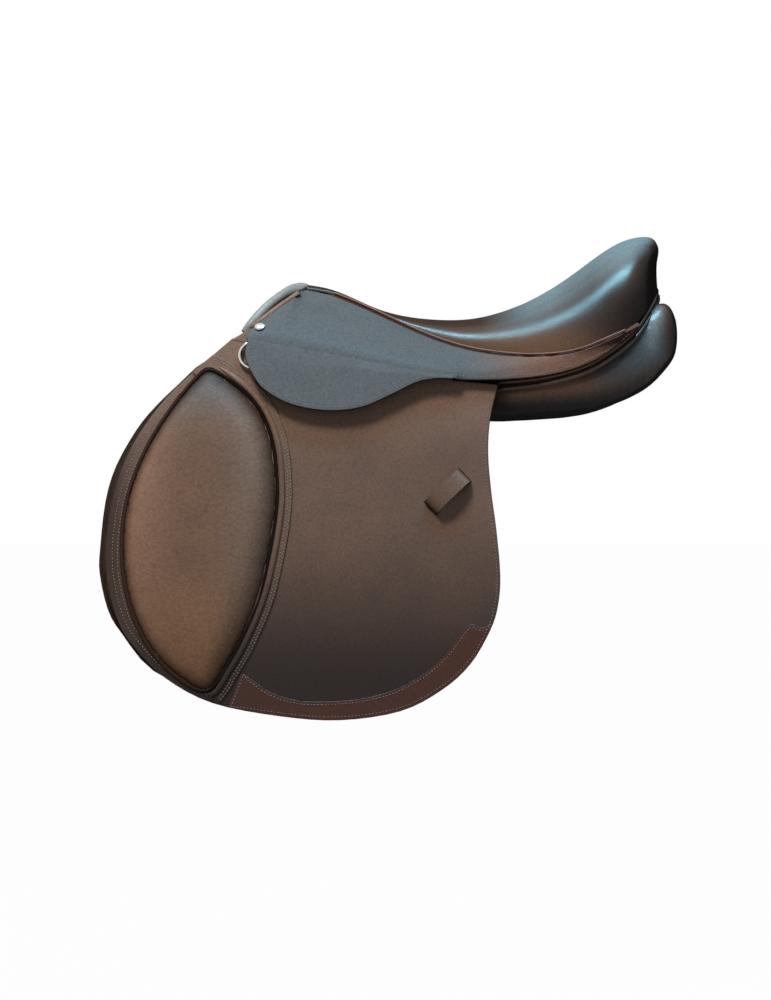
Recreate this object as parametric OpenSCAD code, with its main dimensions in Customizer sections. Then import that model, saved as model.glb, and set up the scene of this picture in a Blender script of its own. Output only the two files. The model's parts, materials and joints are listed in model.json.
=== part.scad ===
// Jumping saddle. X runs from the pommel to the cantle, the near side is -Y and Z is up.
// The origin lies on the centre plane, below the dip of the seat and level with the lower edge of the panels.

/* [Seat] */
// Length of the seat from the pommel to the back of the cantle
seat_l = 377; // [350:1:400]
// How far the pommel stands ahead of the origin
pommel_reach = 160; // [150:1:170]
// Height of the pommel
pommel_h = 146; // [138:1:156]
// Height of the seat at its lowest point
dip_h = 104; // [100:1:110]
// Height of the cantle
cantle_h = 195; // [185:1:210]
// Width of the seat across its side seams
seat_w = 262; // [250:2:274]
// Height of the side seams at their lowest point
seam_h = 60; // [58:1:66]
// Thickness of the seat leather
cover_t = 3; // [2:0.1:4]
// Thickness of the foam under the dip of the seat
foam_t = 17; // [12:0.5:18]
// Radius of the welt in the side seams
welt_r = 1.8; // [1.4:0.1:2.4]

/* [Pommel] */
// Width across the lower corners of the pommel arch
arch_w = 200; // [190:1:206]
// How far the arch drops from the pommel to those corners
arch_drop = 51; // [46:1:54]
// How far the front edge of the arch leans forward on its way down
arch_lean = 60; // [52:1:66]
// Radius of the leather roll over the front of the arch
roll_r = 5; // [4:0.5:6]
// Width of the binding band behind the roll
band_w = 9; // [7:0.5:11]

/* [Tree] */
// Thickness of the laminated head
head_t = 12; // [9:0.5:13]
// Width of the head along the saddle
head_w = 40; // [34:1:44]
// Thickness of the rails and the cantle of the tree
frame_t = 11; // [9:0.5:12]
// Thickness of the steel plates and spring strips
steel_t = 2; // [1.5:0.1:2.4]

/* [Stirrup bar] */
// Length of the bar's back plate
bar_l = 62; // [56:1:66]
// Height of the bar's back plate
bar_h = 22; // [20:1:24]
// Thickness of the back plate and of the finger
bar_t = 4; // [3.5:0.1:4.5]
// Free space between the back plate and the finger, for the stirrup leather
bar_slot = 8; // [7:0.5:9]
// Length of the hinged catch
catch_l = 20; // [18:1:22]
// Radius of the catch pin
catch_pin_r = 1.6; // [1.4:0.1:1.8]

/* [Side leathers] */
// Lean of the flaps away from the horse, in degrees
flap_lean = 8; // [6:0.5:9]
// Distance from the centre to the inner face of the sweat flaps
side_reach = 96; // [94:0.5:98]
// Thickness of a sweat flap
sweat_t = 3.5; // [3:0.1:4]
// Thickness of a billet
billet_t = 4; // [3.6:0.1:4.4]
// Thickness of a flap
flap_t = 4.5; // [4:0.1:5]
// Space between a flap and its skirt, for the stirrup leather
skirt_gap = 8; // [7:0.5:9]
// Thickness of a skirt
skirt_t = 5; // [4:0.1:5.5]

/* [Skirt] */
// How far ahead of the origin the bend line of the skirt starts
bend_front = 223; // [218:1:226]
// How far ahead of the origin the bend line ends
bend_rear = 3; // [0:1:8]
// Height of the front end of the bend line in the plane of the flap
bend_front_h = 60; // [58:1:62]
// Height of the rear end of the bend line in the plane of the flap
bend_rear_h = 18; // [16:1:20]
// Depth of the lobe below the bend line
lobe_drop = 62; // [56:1:68]
// Depth of the strip between the side seam and the skirt's lower edge, behind the lobe
strip_h = 33; // [31:0.5:35]

/* [Flap] */
// Width of a flap
flap_w = 414; // [404:1:424]
// Height of a flap
flap_h = 405; // [390:1:420]
// How far the front of a flap stands ahead of the origin
flap_reach = 370; // [366:1:374]
// Width of a knee pad
pad_w = 164; // [156:1:170]
// Height of a knee pad
pad_h = 344; // [330:1:350]
// Distance from the front of the flap to the pad
pad_inset = 16; // [14:0.5:18]
// Distance from the foot of the flap to the pad
pad_rise = 28; // [26:1:34]
// Crown of a knee pad above the flap
pad_crown = 12; // [8:0.5:15]
// Width of the binding strip along the pad
edging_w = 14; // [12:0.5:15]
// Thickness of the leathers sewn on the flap
trim_t = 1.6; // [1.2:0.1:2]
// How far the knee block stands ahead of the flap
block_reach = 8; // [6:0.5:10]

/* [Keeper] */
// Length of a keeper between its slots
keeper_l = 50; // [44:1:54]
// Width of a keeper
keeper_w = 18; // [16:0.5:20]
// Thickness of a keeper's leather
keeper_t = 2.5; // [2:0.1:3]
// Free height under a keeper
keeper_gap = 7.5; // [7:0.5:8]

/* [Billets] */
// Length of a billet below its pin
billet_l = 305; // [280:1:312]
// Width of a billet
billet_w = 27; // [24:0.5:30]
// Distance between neighbouring billets
billet_pitch = 45; // [42:1:48]
// Radius of the punched holes
punch_r = 2.4; // [2:0.1:3]
// Distance between the punched holes
punch_pitch = 25; // [22:0.5:28]
// Number of punched holes
punch_n = 8; // [4:1:9]
// Radius of a billet's pin
billet_pin_r = 3; // [2.5:0.1:3.5]

/* [Dee ring] */
// Radius of a dee ring at the middle of its wire
dee_r = 13; // [11:0.5:14]
// Radius of the wire
dee_wire_r = 1.9; // [1.6:0.1:2]
// Width of the chape that holds the ring
chape_w = 18; // [14:0.5:19]
// Length of the chape behind the ring
chape_l = 34; // [28:1:40]
// Thickness of the chape
chape_t = 1.4; // [1.2:0.1:1.5]

/* [Panel] */
// Length of a panel
panel_l = 446; // [438:1:452]
// How far the panel's front stands ahead of the origin
panel_reach = 205; // [201:1:208]
// Full width that the panel's stations are shares of
panel_w = 92; // [86:1:94]
// Full depth that the panel's stations are shares of
panel_d = 60; // [54:1:62]

/* [Hidden] */
$fn = 48;

// Clearance between neighbouring pieces, and the overrun of a cut
fit = 0.3;
over = 1;
// Thickness of the webs and of the canvas
web_t = 1.8;
canvas_t = 1.2;
// Depth of the foam's edge below the seam, and the play between the layers under it and under the tree
foam_edge = 2;
layer_gap = 0.6;
under_gap = 0.7;
// Gap between the skirt and its lobe along the bend
bend_gap = 0.6;
// Clearance of the billets from their neighbours
billet_gap = 0.8;

// Levels of the side leathers, outwards along the flap's normal
sweat_out = side_reach + sweat_t;
billet_a = sweat_out + billet_gap;
billet_b = billet_a + billet_t + billet_gap;
flap_in = billet_b + billet_t + billet_gap;
flap_out = flap_in + flap_t;
skirt_in = flap_out + skirt_gap;
skirt_out = skirt_in + skirt_t;

leather = "#4a342b";
pad_leather = "#5d4133";
guard_leather = "#5a2f22";
tan_leather = "#a8632f";
lining = "#3a2a22";
steel = "#9a9da0";
nickel = "#c9cacc";
beech = "#b98d5d";
foam_colour = "#d8cfa8";
canvas_colour = "#c9bfa4";

// Curves through hand-chosen knots
function unit(v) = v / norm(v);
function mix(a, b, t) = a + (b - a) * t;
function flip(p) = [p.x, -p.y, p.z];
function catmull(a, b, c, d, t) =
  (2 * b + (c - a) * t + (2 * a - 5 * b + 4 * c - d) * t ^ 2 + (3 * b - a - 3 * c + d) * t ^ 3) / 2;
function knot(k, i) =
  i < 0 ? 2 * k[0] - k[1] : i >= len(k) ? 2 * k[len(k) - 1] - k[len(k) - 2] : k[i];
function curve_at(k, u) =
  let (i = max(0, min(floor(u), len(k) - 2)))
  catmull(knot(k, i - 1), knot(k, i), knot(k, i + 1), knot(k, i + 2), u - i);
function curve(k, steps) = [for (i = [0 : (len(k) - 1) * steps]) curve_at(k, i / steps)];
function loop_curve(k, steps) =
  let (n = len(k))
  [for (i = [0 : n * steps - 1])
    let (s = floor(i / steps))
    catmull(k[(s + n - 1) % n], k[s], k[(s + 1) % n], k[(s + 2) % n], i / steps - s)];
function lookup_at(k, u) = let (i = max(0, min(floor(u), len(k) - 2))) mix(k[i], k[i + 1], u - i);

// Surfaces as grids of points: rows run along the piece, columns across it
function grid_normal(g, i, j) =
  let (r = len(g) - 1, c = len(g[0]) - 1)
  unit(cross(g[min(i + 1, r)][j] - g[max(i - 1, 0)][j], g[i][min(j + 1, c)] - g[i][max(j - 1, 0)]));
function offset_grid(g, t) =
  [for (i = [0 : len(g) - 1]) [for (j = [0 : len(g[0]) - 1]) g[i][j] + t * grid_normal(g, i, j)]];
function strip_wall(a, b, c, d) = [[a, b, c], [a, c, d]];

// A closed sheet between an outer grid and an inner one; a folded sheet closes on itself in its last row
module sheet(outer, inner, folded = false) {
  r = len(outer) - 1;
  c = len(outer[0]) - 1;
  n = (r + 1) * (c + 1);
  function id(i, j) = i * (c + 1) + (folded && i == r && j > c / 2 ? c - j : j);
  faces = [
    for (i = [0 : r - 1]) for (j = [0 : c - 1]) for (f = concat(
      strip_wall(id(i, j), id(i, j + 1), id(i + 1, j + 1), id(i + 1, j)),
      strip_wall(n + id(i, j), n + id(i + 1, j), n + id(i + 1, j + 1), n + id(i, j + 1)))) f,
    for (i = [0 : r - 1]) for (f = concat(
      strip_wall(n + id(i, 0), id(i, 0), id(i + 1, 0), n + id(i + 1, 0)),
      strip_wall(id(i, c), n + id(i, c), n + id(i + 1, c), id(i + 1, c)))) f,
    for (j = [0 : c - 1]) for (f = concat(
      strip_wall(id(0, j + 1), id(0, j), n + id(0, j), n + id(0, j + 1)),
      folded ? [] : strip_wall(id(r, j), id(r, j + 1), n + id(r, j + 1), n + id(r, j)))) f
  ];
  polyhedron(points = [for (g = [outer, inner]) for (row = g) for (p = row) p], faces = faces);
}

// A closed skin through rings of equal count, capped at both ends
module skin(rings) {
  m = len(rings[0]);
  last = (len(rings) - 1) * m;
  faces = [
    for (i = [0 : len(rings) - 2]) for (j = [0 : m - 1]) let (a = i * m + j, b = i * m + (j + 1) % m)
      for (f = strip_wall(a, b, b + m, a + m)) f,
    for (j = [1 : m - 2]) for (f = [[0, j + 1, j], [last, last + j, last + j + 1]]) f
  ];
  polyhedron(points = [for (ring = rings) for (p = ring) p], faces = faces);
}

// Facets round a thin cord and round the pommel roll
cord_sides = 8;
roll_sides = 12;
// Rings of a round cord along a path; the cord's section stands on the given reference direction
function cord_rings(path, r, sides, ref) =
  [for (i = [0 : len(path) - 1])
    let (
      t = unit(path[min(i + 1, len(path) - 1)] - path[max(i - 1, 0)]),
      s = unit(cross(t, ref)),
      n = cross(s, t)
    )
    [for (k = [0 : sides - 1]) path[i] + r * (cos(360 * k / sides) * s + sin(360 * k / sides) * n)]];

// The plane of the near flap: along the saddle, up the flap and outwards
module side() { rotate([90 - flap_lean, 0, 0]) children(); }
module off_side() { mirror([0, 1, 0]) children(); }
side_up = [0, sin(flap_lean), cos(flap_lean)];
side_out = [0, -cos(flap_lean), sin(flap_lean)];
function side_point(u, v, n) = [u, 0, 0] + v * side_up + n * side_out;

// Seat: a centre line and a side seam, joined by crowned ribs
// Each row: place along the seat, rise towards the pommel, rise towards the cantle
seat_line_shares = [
  [-0.008, 1, 0], [0.06, 0.84, 0], [0.183, 0.33, 0], [0.27, 0.105, 0], [0.38, 0, 0], [0.497, 0, 0.024],
  [0.629, 0, 0.206], [0.745, 0, 0.49], [0.832, 0, 0.764], [0.897, 0, 0.936], [0.943, 0, 0.994], [0.964, 0, 1],
  [0.97, 0, 1]
];
// Each row: place along the seat, half width, rise towards the pommel, rise towards the cantle
seam_shares = [
  [-0.006, 0.107, 0.92, 0], [0.075, 0.2, 0.83, 0], [0.1825, 0.305, 0.623, 0], [0.2687, 0.397, 0.438, 0],
  [0.377, 0.519, 0.225, 0], [0.489, 0.672, 0.077, 0], [0.6276, 0.855, 0, 0], [0.7507, 0.977, 0, 0.025],
  [0.848, 1, 0, 0.132], [0.927, 0.893, 0, 0.25], [0.985, 0.6, 0, 0.45],
  [1.006, 0.3, 0, 0.565], [1.01, 0, 0, 0.6]
];
// Thickness of the foam at each rib, as a share of that at the dip
foam_shares = [0.35, 0.5, 0.75, 0.9, 1, 1, 1, 1, 1, 0.95, 0.85, 0.8, 0.75];
// Roundness of the ribs, from 2 for an ellipse to fuller ones at the cantle
seat_fullness = [2.2, 2.2, 2.2, 2.2, 2.2, 2.2, 2.25, 2.35, 2.5, 2.7, 3.1, 3.8, 4.4];
rib_end = len(seat_line_shares) - 1;
seat_x = -pommel_reach;
seat_line = [
  for (s = seat_line_shares)
    [seat_x + s[0] * seat_l, 0, dip_h + s[1] * (pommel_h - dip_h) + s[2] * (cantle_h - dip_h)]
];
near_seam = [
  for (s = seam_shares) let (rise = s[2] * (pommel_h - seam_h) + s[3] * (cantle_h - seam_h))
    [seat_x + s[0] * seat_l, -s[1] * seat_w / 2, seam_h + rise]
];
seam = concat(near_seam, [flip(near_seam[rib_end - 1])]);
// Step along the knots over which a slope is measured
slope_step = 0.02;
function slope(k, u) = unit(curve_at(k, u + slope_step) - curve_at(k, u - slope_step));
function line_normal(u) = let (t = slope(seat_line, u)) [-t.z, 0, t.x];
function seam_normal(u) = let (t = slope(seam, u)) unit([t.y, -t.x, 0]);
function line_at(u, depth) = curve_at(seat_line, u) - depth * line_normal(u);
function seam_at(u, depth) = curve_at(seam, u) - depth * seam_normal(u);
function rib_point(c, e, t, fullness) =
  let (s = sin(90 * t) ^ (2 / fullness), k = cos(90 * t) ^ (2 / fullness))
  [mix(c.x, e.x, s), mix(c.y, e.y, s), mix(e.z, c.z, k)];
function both_sides(p, t) = t > 0 ? flip(p) : p;
function seat_grid(depth, rows, cols) =
  [for (i = [0 : rows])
    let (u = rib_end * i / rows, c = line_at(u, depth), e = seam_at(u, depth))
    [for (j = [-cols : cols]) both_sides(rib_point(c, e, abs(j) / cols, lookup_at(seat_fullness, u)), j)]];

// Underside of the foam: straight ribs on which the tree lies
foam_top = cover_t + fit;
function base_point(u, w) =
  let (
    c = line_at(u, foam_top + foam_t * curve_at(foam_shares, u)),
    e = seam_at(u, foam_top) - [0, 0, foam_edge]
  )
  both_sides(mix(c, e, abs(w)), w);
function base_normal(u, w) = unit(cross(
  base_point(u + slope_step, w) - base_point(u - slope_step, w),
  base_point(u, w + slope_step) - base_point(u, w - slope_step)
));
function base_layer(u, w, depth) = base_point(u, w) - depth * base_normal(u, w);
canvas_top = layer_gap;
web_top = canvas_top + canvas_t + layer_gap;
frame_top = web_top + web_t + layer_gap;
frame_low = frame_top + frame_t;
// Every layer of the seat is cut on the same ribs
rib_step = 0.5;
seat_rows = rib_end / rib_step;
seat_cols = 8;
module seat_cover() {
  color(leather) sheet(seat_grid(0, seat_rows, seat_cols), seat_grid(cover_t, seat_rows, seat_cols), true);
}
module seat_foam() {
  under = [for (i = [0 : seat_rows]) [for (j = [-seat_cols : seat_cols])
    base_point(i * rib_step, sign(j) * sin(90 * abs(j) / seat_cols))]];
  color(foam_colour) sheet(seat_grid(foam_top, seat_rows, seat_cols), under, true);
}
// Ribs on which the canvas, the web and the springs begin and end, and their edges across the ribs
canvas_ribs = [1.5, 10];
web_ribs = [2, 9.5];
spring_ribs = [2.5, 7.5];
canvas_width_shares = [-0.9, 0.9];
web_width_shares = [-0.4, 0.4];
spring_width_shares = [-0.72, -0.58];
module rib_sheet(ribs, width_shares, top, t, cols) {
  function layer(depth) =
    [for (u = [ribs[0] : rib_step : ribs[1]])
      [for (j = [0 : cols]) base_layer(u, mix(width_shares[0], width_shares[1], j / cols), depth)]];
  sheet(layer(top), layer(top + t));
}
module seat_canvas() {
  color(canvas_colour) rib_sheet(canvas_ribs, canvas_width_shares, canvas_top, canvas_t, 6);
}
module seat_web() { color(canvas_colour) rib_sheet(web_ribs, web_width_shares, web_top, web_t, 2); }
module spring() {
  color(steel) rib_sheet(spring_ribs, spring_width_shares, frame_low + under_gap, steel_t, 1);
}
module spring_left() { spring(); }
module spring_right() { off_side() spring(); }

// Tree frame: a rail along each side and the cantle, one laminated loop behind the head
frame_first_rib = 2;
// Inner edge of the frame at equal steps along it, and its outer edge
frame_inner_shares = [0.35, 0.42, 0.5, 0.55, 0.55, 0.5, 0.45];
frame_outer_share = 0.93;
frame_rows = (rib_end - frame_first_rib) / rib_step;
module tree_frame() {
  function ring(i) =
    let (
      f = i / frame_rows,
      u = mix(frame_first_rib, rib_end, f),
      inner = curve_at(frame_inner_shares, f * (len(frame_inner_shares) - 1)),
      across = [frame_outer_share, (frame_outer_share + inner) / 2, inner]
    )
    concat(
      [for (w = across) base_layer(u, -w, frame_low)],
      [for (k = [2 : -1 : 0]) base_layer(u, -across[k], frame_top)]
    );
  function level(p, i) = i == frame_rows ? [p.x, 0, p.z] : p;
  near = [for (i = [0 : frame_rows]) [for (p = ring(i)) level(p, i)]];
  far = [for (i = [frame_rows - 1 : -1 : 0]) [for (p = near[i]) flip(p)]];
  color(beech) skin(concat(near, far));
}
// Head: an arch whose points run down inside the panels
// Each row: lean forward, half width and drop below the top of the head, from the left point to the top
head_lean = 50;
head_half_w = 83;
head_drop = 100;
head_depth = 32;
head_shares = [
  [1, 1, 1], [0.84, 0.94, 0.75], [0.6, 0.83, 0.48], [0.28, 0.65, 0.24], [0.08, 0.36, 0.06], [0, 0, 0]
];
head_x = -pommel_reach + head_w / 3;
head_z = pommel_h - head_depth;
near_head = [
  for (s = head_shares) [head_x - s[0] * head_lean, -s[1] * head_half_w, head_z - s[2] * head_drop]
];
head_top = len(near_head) - 1;
head_line = concat(near_head, [for (i = [head_top - 1 : -1 : 0]) flip(near_head[i])]);
head_end = len(head_line) - 1;
function head_grid(h0, h1, rows, w) =
  [for (k = [-1, 1]) [for (i = [0 : rows]) curve_at(head_line, mix(h0, h1, i / rows)) + [k * w / 2, 0, 0]]];
module head_layer(h0, h1, rows, w, top, t) {
  g = head_grid(h0, h1, rows, w);
  sheet(offset_grid(g, top), offset_grid(g, top - t));
}
module tree_head() { color(beech) head_layer(0, head_end, 24, head_w, head_t / 2, head_t); }
head_plate_w = 26;
gullet_plate_w = 30;
// How far along the arch the steel plates reach from its points
head_plate_share = 0.29;
gullet_plate_share = 0.16;
module head_plate() {
  e = head_plate_share * head_end;
  color(steel) head_layer(e, head_end - e, 14, head_plate_w, head_t / 2 + fit + steel_t, steel_t);
}
module gullet_plate() {
  e = gullet_plate_share * head_end;
  color(steel) head_layer(e, head_end - e, 18, gullet_plate_w, -head_t / 2 - fit, steel_t);
}
// Places on the head: out of the arch at a share of its length from the left point
module at_head(share) {
  u = share * head_end;
  t = slope(head_line, u);
  translate(curve_at(head_line, u)) rotate([atan2(t.z, t.y), 0, 0]) children();
}
rivet_r = 3;
rivet_head_r = 5;
rivet_head_h = 2;
rivet_shares = [0.32, 0.4];
rivet_reach = head_t / 2 + fit + steel_t;
module rivet(reach, below) {
  translate([0, 0, -below]) cylinder(r = rivet_r, h = below + reach);
  translate([0, 0, reach]) cylinder(r1 = rivet_head_r, r2 = rivet_r, h = rivet_head_h);
}
module head_rivets() {
  color(steel) for (s = rivet_shares) for (share = [s, 1 - s]) at_head(share) rivet(rivet_reach, rivet_reach);
}

// Stirrup bar: a back plate on the side of the head and an open finger, with a hinged catch at its end
bar_share = 0.235;
bar_lean = atan2(bend_front_h - bend_rear_h, bend_front - bend_rear);
// Place of the plate's front end on the head, and the height of the finger
bar_ahead = 17;
finger_h = 12;
knuckle_r = finger_h / 2;
finger_l = bar_l - catch_l / 3;
post_l = 9;
bar_seat = head_t / 2 + fit;
finger_z = bar_seat + bar_t + bar_slot;
catch_pin_inset = knuckle_r;
module at_bar() { at_head(bar_share) translate([-bar_ahead, 0, 0]) rotate([0, 0, -bar_lean]) children(); }
module rounded(l, h, r, t) {
  linear_extrude(t) polygon([
    for (q = [[l - r, h - r, 0], [r, h - r, 90], [r, r, 180], [l - r, r, 270]])
      for (a = [0 : 30 : 90]) [q[0] + r * cos(q[2] + a), q[1] - h / 2 + r * sin(q[2] + a)]
  ]);
}
finger_round = 3;
module stirrup_bar() {
  color(steel) difference() {
    union() {
      translate([0, 0, bar_seat]) rounded(bar_l, bar_h, finger_round, bar_t);
      translate([0, 0, bar_seat]) rounded(post_l, finger_h, finger_round, bar_t + bar_slot + bar_t);
      translate([0, 0, finger_z]) rounded(finger_l, finger_h, finger_round, bar_t);
    }
    // Half lap for the catch, and the hole of its pin
    translate([finger_l - 2 * catch_pin_inset - fit, -knuckle_r - over, finger_z + bar_t / 2 - fit])
      cube([2 * catch_pin_inset + fit + over, finger_h + 2 * over, bar_t / 2 + fit + over]);
    translate([finger_l - catch_pin_inset, 0, finger_z - over])
      cylinder(r = catch_pin_r, h = bar_t + 2 * over);
  }
}
module bar_catch() {
  color(steel) difference() {
    translate([finger_l - 2 * catch_pin_inset, 0, finger_z + bar_t / 2])
      rounded(catch_l, finger_h, knuckle_r - fit, bar_t / 2);
    translate([finger_l - catch_pin_inset, 0, finger_z - over])
      cylinder(r = catch_pin_r + fit / 2, h = bar_t + 2 * over);
  }
}
module catch_pin() {
  translate([finger_l - catch_pin_inset, 0, finger_z]) cylinder(r = catch_pin_r, h = bar_t + fit);
}
bar_rivet_inset = 9;
bar_rivet_gap = 20;
module bar_rivet_pair() {
  for (x = [bar_rivet_inset, bar_rivet_inset + bar_rivet_gap])
    translate([x, 0, 0]) rivet(bar_seat + bar_t, head_t / 4);
}
module stirrup_bar_left() { at_bar() stirrup_bar(); }
module stirrup_bar_right() { off_side() at_bar() stirrup_bar(); }
module bar_catch_left() { at_bar() bar_catch(); }
module bar_catch_right() { off_side() at_bar() bar_catch(); }
module catch_pins() { color(nickel) { at_bar() catch_pin(); off_side() at_bar() catch_pin(); } }
module bar_rivets() { color(steel) { at_bar() bar_rivet_pair(); off_side() at_bar() bar_rivet_pair(); } }

// Pommel arch: each row gives the lean forward, half width and drop of the skirt's front edge
arch_shares = [[0.94, 0.97, 1.03], [0.6, 0.74, 0.63], [0.165, 0.38, 0.22]];
// The roll ahead of it, from its lower end to the top
roll_shares = [
  [1.17, 0.95, 1.22], [1, 0.91, 1.01], [0.717, 0.73, 0.608], [0.36, 0.41, 0.237], [0.215, 0.16, 0.135],
  [0.166, 0, 0.102]
];
function arch_point(s) = [-pommel_reach - s[0] * arch_lean, -s[1] * arch_w / 2, pommel_h - s[2] * arch_drop];
near_roll = [for (s = roll_shares) arch_point(s)];
roll_top = len(near_roll) - 1;
roll_line = concat(near_roll, [for (i = [roll_top - 1 : -1 : 0]) flip(near_roll[i])]);
module pommel_roll() { color(leather) skin(cord_rings(curve(roll_line, 3), roll_r, roll_sides, [1, 0, 0])); }
// Facing between the roll and the front of the head
facing_share = 0.08;
facing_t = 2;
module front_facing() {
  rows = 16;
  h = [for (i = [0 : rows]) let (f = mix(facing_share, 1 - facing_share, i / rows))
    [curve_at(head_line, f * head_end), curve_at(roll_line, f * (len(roll_line) - 1))]];
  ahead = [-head_w / 2 - facing_t / 2 - fit, 0, 0];
  function toward(p, q, gap) = p + gap * unit(q - p);
  g = [for (k = [0, 0.5, 1]) [for (p = h)
    let (a = p[0] + ahead, b = toward(p[1], a, roll_r + 4 * fit)) mix(a, b, k)]];
  color(leather) sheet(offset_grid(g, 0), offset_grid(g, facing_t));
}

// Skirt: ribs from the front arch and the side seam down to the bend line, then to the edge of the rear strip
skirt_stand = 2 * welt_r + 4 * fit;
skirt_sink = welt_r + 3 * fit;
skirt_top_end = 9;
skirt_top = concat(
  [for (s = arch_shares) arch_point(s)],
  [for (u = [0 : skirt_top_end]) seam_at(u, -skirt_stand) - [0, 0, skirt_sink]]
);
// Places on the bend line below the first knots of the top edge
bend_shares = [0, 0.075, 0.16, 0.24, 0.35, 0.48, 0.63, 0.82, 1.18];
bend_knot = 7.5;
function bend_point(s, n) = side_point(mix(-bend_front, -bend_rear, s), mix(bend_front_h, bend_rear_h, s), n);
// Outward and downward reach of the rear strip below the seam
strip_shares = [[1.0, 1], [0.4, 0.75], [0.18, 0.58], [0.12, 0.45], [0.06, 0.22]];
strip_first = skirt_top_end + 1 - len(strip_shares);
strip_line = concat([bend_point(1, skirt_out)], [
  for (i = [0 : len(strip_shares) - 1]) let (s = strip_shares[i], u = strip_first + i)
    curve_at(seam, u) + s[0] * strip_h * seam_normal(u) - [0, 0, s[1] * strip_h]
]);
skirt_end = len(skirt_top) - 1;
function skirt_low(u) = u <= bend_knot
  ? bend_point(lookup_at(bend_shares, u), skirt_out)
  : curve_at(strip_line, (u - bend_knot) / (skirt_end - bend_knot) * (len(strip_line) - 1));
skirt_bulge_share = 0.42;
function skirt_point(u, v) =
  let (
    t = curve_at(skirt_top, u),
    b = skirt_low(u),
    k = b + side_up * (skirt_bulge_share * max(0, t.z - b.z))
  )
  v ^ 2 * t + 2 * v * (1 - v) * k + (1 - v) ^ 2 * b;
skirt_rows = skirt_end / rib_step;
skirt_cols = 7;
skirt_grid = [
  for (i = [0 : skirt_rows]) [for (j = [0 : skirt_cols]) skirt_point(i * rib_step, j / skirt_cols)]
];
module skirt() {
  under = offset_grid(skirt_grid, -skirt_t);
  function squared(i, j) = j == 0 ? skirt_grid[i][0] - skirt_t * side_out : under[i][j];
  color(leather) sheet(skirt_grid, [for (i = [0 : skirt_rows]) [for (j = [0 : skirt_cols]) squared(i, j)]]);
}
module skirt_left() { skirt(); }
module skirt_right() { off_side() skirt(); }

// The lobe below the bend line: place along the bend and depth below it
lobe_shares = [
  [0.003, 0.02], [-0.009, 0.3], [0.027, 0.6], [0.086, 0.83], [0.209, 0.99], [0.377, 0.99],
  [0.545, 0.826], [0.686, 0.52], [0.809, 0.22], [0.905, 0.08], [0.99, 0.03]
];
function bend_2d(s, drop) = [mix(-bend_front, -bend_rear, s), mix(bend_front_h, bend_rear_h, s) - drop];
module skirt_lobe() {
  edge = [for (s = lobe_shares) bend_2d(s[0], s[1] * lobe_drop)];
  head = [bend_2d(lobe_shares[len(lobe_shares) - 1][0], bend_gap), bend_2d(lobe_shares[0][0], bend_gap)];
  color(leather) side() translate([0, 0, skirt_in])
    linear_extrude(skirt_t) polygon(concat(curve(edge, 4), head));
}
module skirt_lobe_left() { skirt_lobe(); }
module skirt_lobe_right() { off_side() skirt_lobe(); }

// Welt in each side seam
welt_ribs = [1, 8.5];
module seat_welt() {
  path = [
    for (u = [welt_ribs[0] : rib_step / 2 : welt_ribs[1]]) seam_at(u, -welt_r - fit) + [0, 0, welt_r / 2]
  ];
  color(tan_leather) skin(cord_rings(path, welt_r, cord_sides, [0, 0, 1]));
}
module seat_welt_left() { seat_welt(); }
module seat_welt_right() { off_side() seat_welt(); }

// Band along the skirt's front edge
band_knots = 3;
band_t = 1.2;
module pommel_binding() {
  rows = band_knots / rib_step;
  g = [for (i = [0 : rows]) let (u = i * rib_step, l = norm(curve_at(skirt_top, u) - skirt_low(u)))
    [for (k = [1, 0.5, 0]) skirt_point(u, 1 - k * min(band_w / l, 1))]];
  color(tan_leather) sheet(offset_grid(g, 2 * fit + band_t), offset_grid(g, 2 * fit));
}
module pommel_binding_left() { pommel_binding(); }
module pommel_binding_right() { off_side() pommel_binding(); }

// Domed nail on each skirt
nail_place_shares = [0.055, 0.5];
nail_r = 5.5;
nail_h = 3;
nail_rim_share = 0.3;
module saddle_nail() {
  u = nail_place_shares[0] * skirt_end;
  v = nail_place_shares[1];
  p = skirt_point(u, v);
  n = unit(cross(skirt_point(u + slope_step, v) - p, skirt_point(u, v + slope_step) - p));
  translate(p + fit * n) rotate([0, acos(n.z), atan2(n.y, n.x)])
    rotate_extrude() polygon([
      [0, 0], [nail_r, 0], for (a = [0 : 10 : 90]) [nail_r * cos(a), nail_h * mix(nail_rim_share, 1, sin(a))]
    ]);
}
module saddle_nails() { color(nickel) { saddle_nail(); off_side() saddle_nail(); } }

// Rolled welts round the back of the saddle, under the skirts and the cantle
// Each row: outward reach and drop from the seam, from behind the flap to the middle of the cantle
roll_size = 40;
back_roll_r = 2.8;
back_shares = [
  [0.04, 0.8], [0.03, 0.61], [-0.09, 0.48], [-0.145, 0.37], [-0.135, 0.26],
  [0.02, 0.085], [0.02, 0.085], [0.02, 0.085]
];
back_first_rib = 5.4;
module back_roll(out, drop) {
  last = len(back_shares) - 1;
  near = [for (i = [0 : last]) let (u = mix(back_first_rib, rib_end, i / last), s = back_shares[i])
    curve_at(seam, u) + (s[0] * roll_size + out) * seam_normal(u) - [0, 0, s[1] * roll_size + drop]];
  line = concat(near, [for (i = [last - 1 : -1 : 0]) flip(near[i])]);
  skin(cord_rings(curve(line, 3), back_roll_r, cord_sides, [0, 0, 1]));
}
module cantle_binding() { color(leather) back_roll(0, 0); }
module panel_welt() { color(leather) back_roll(back_roll_r / 2, 2 * back_roll_r + 4 * fit); }

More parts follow.
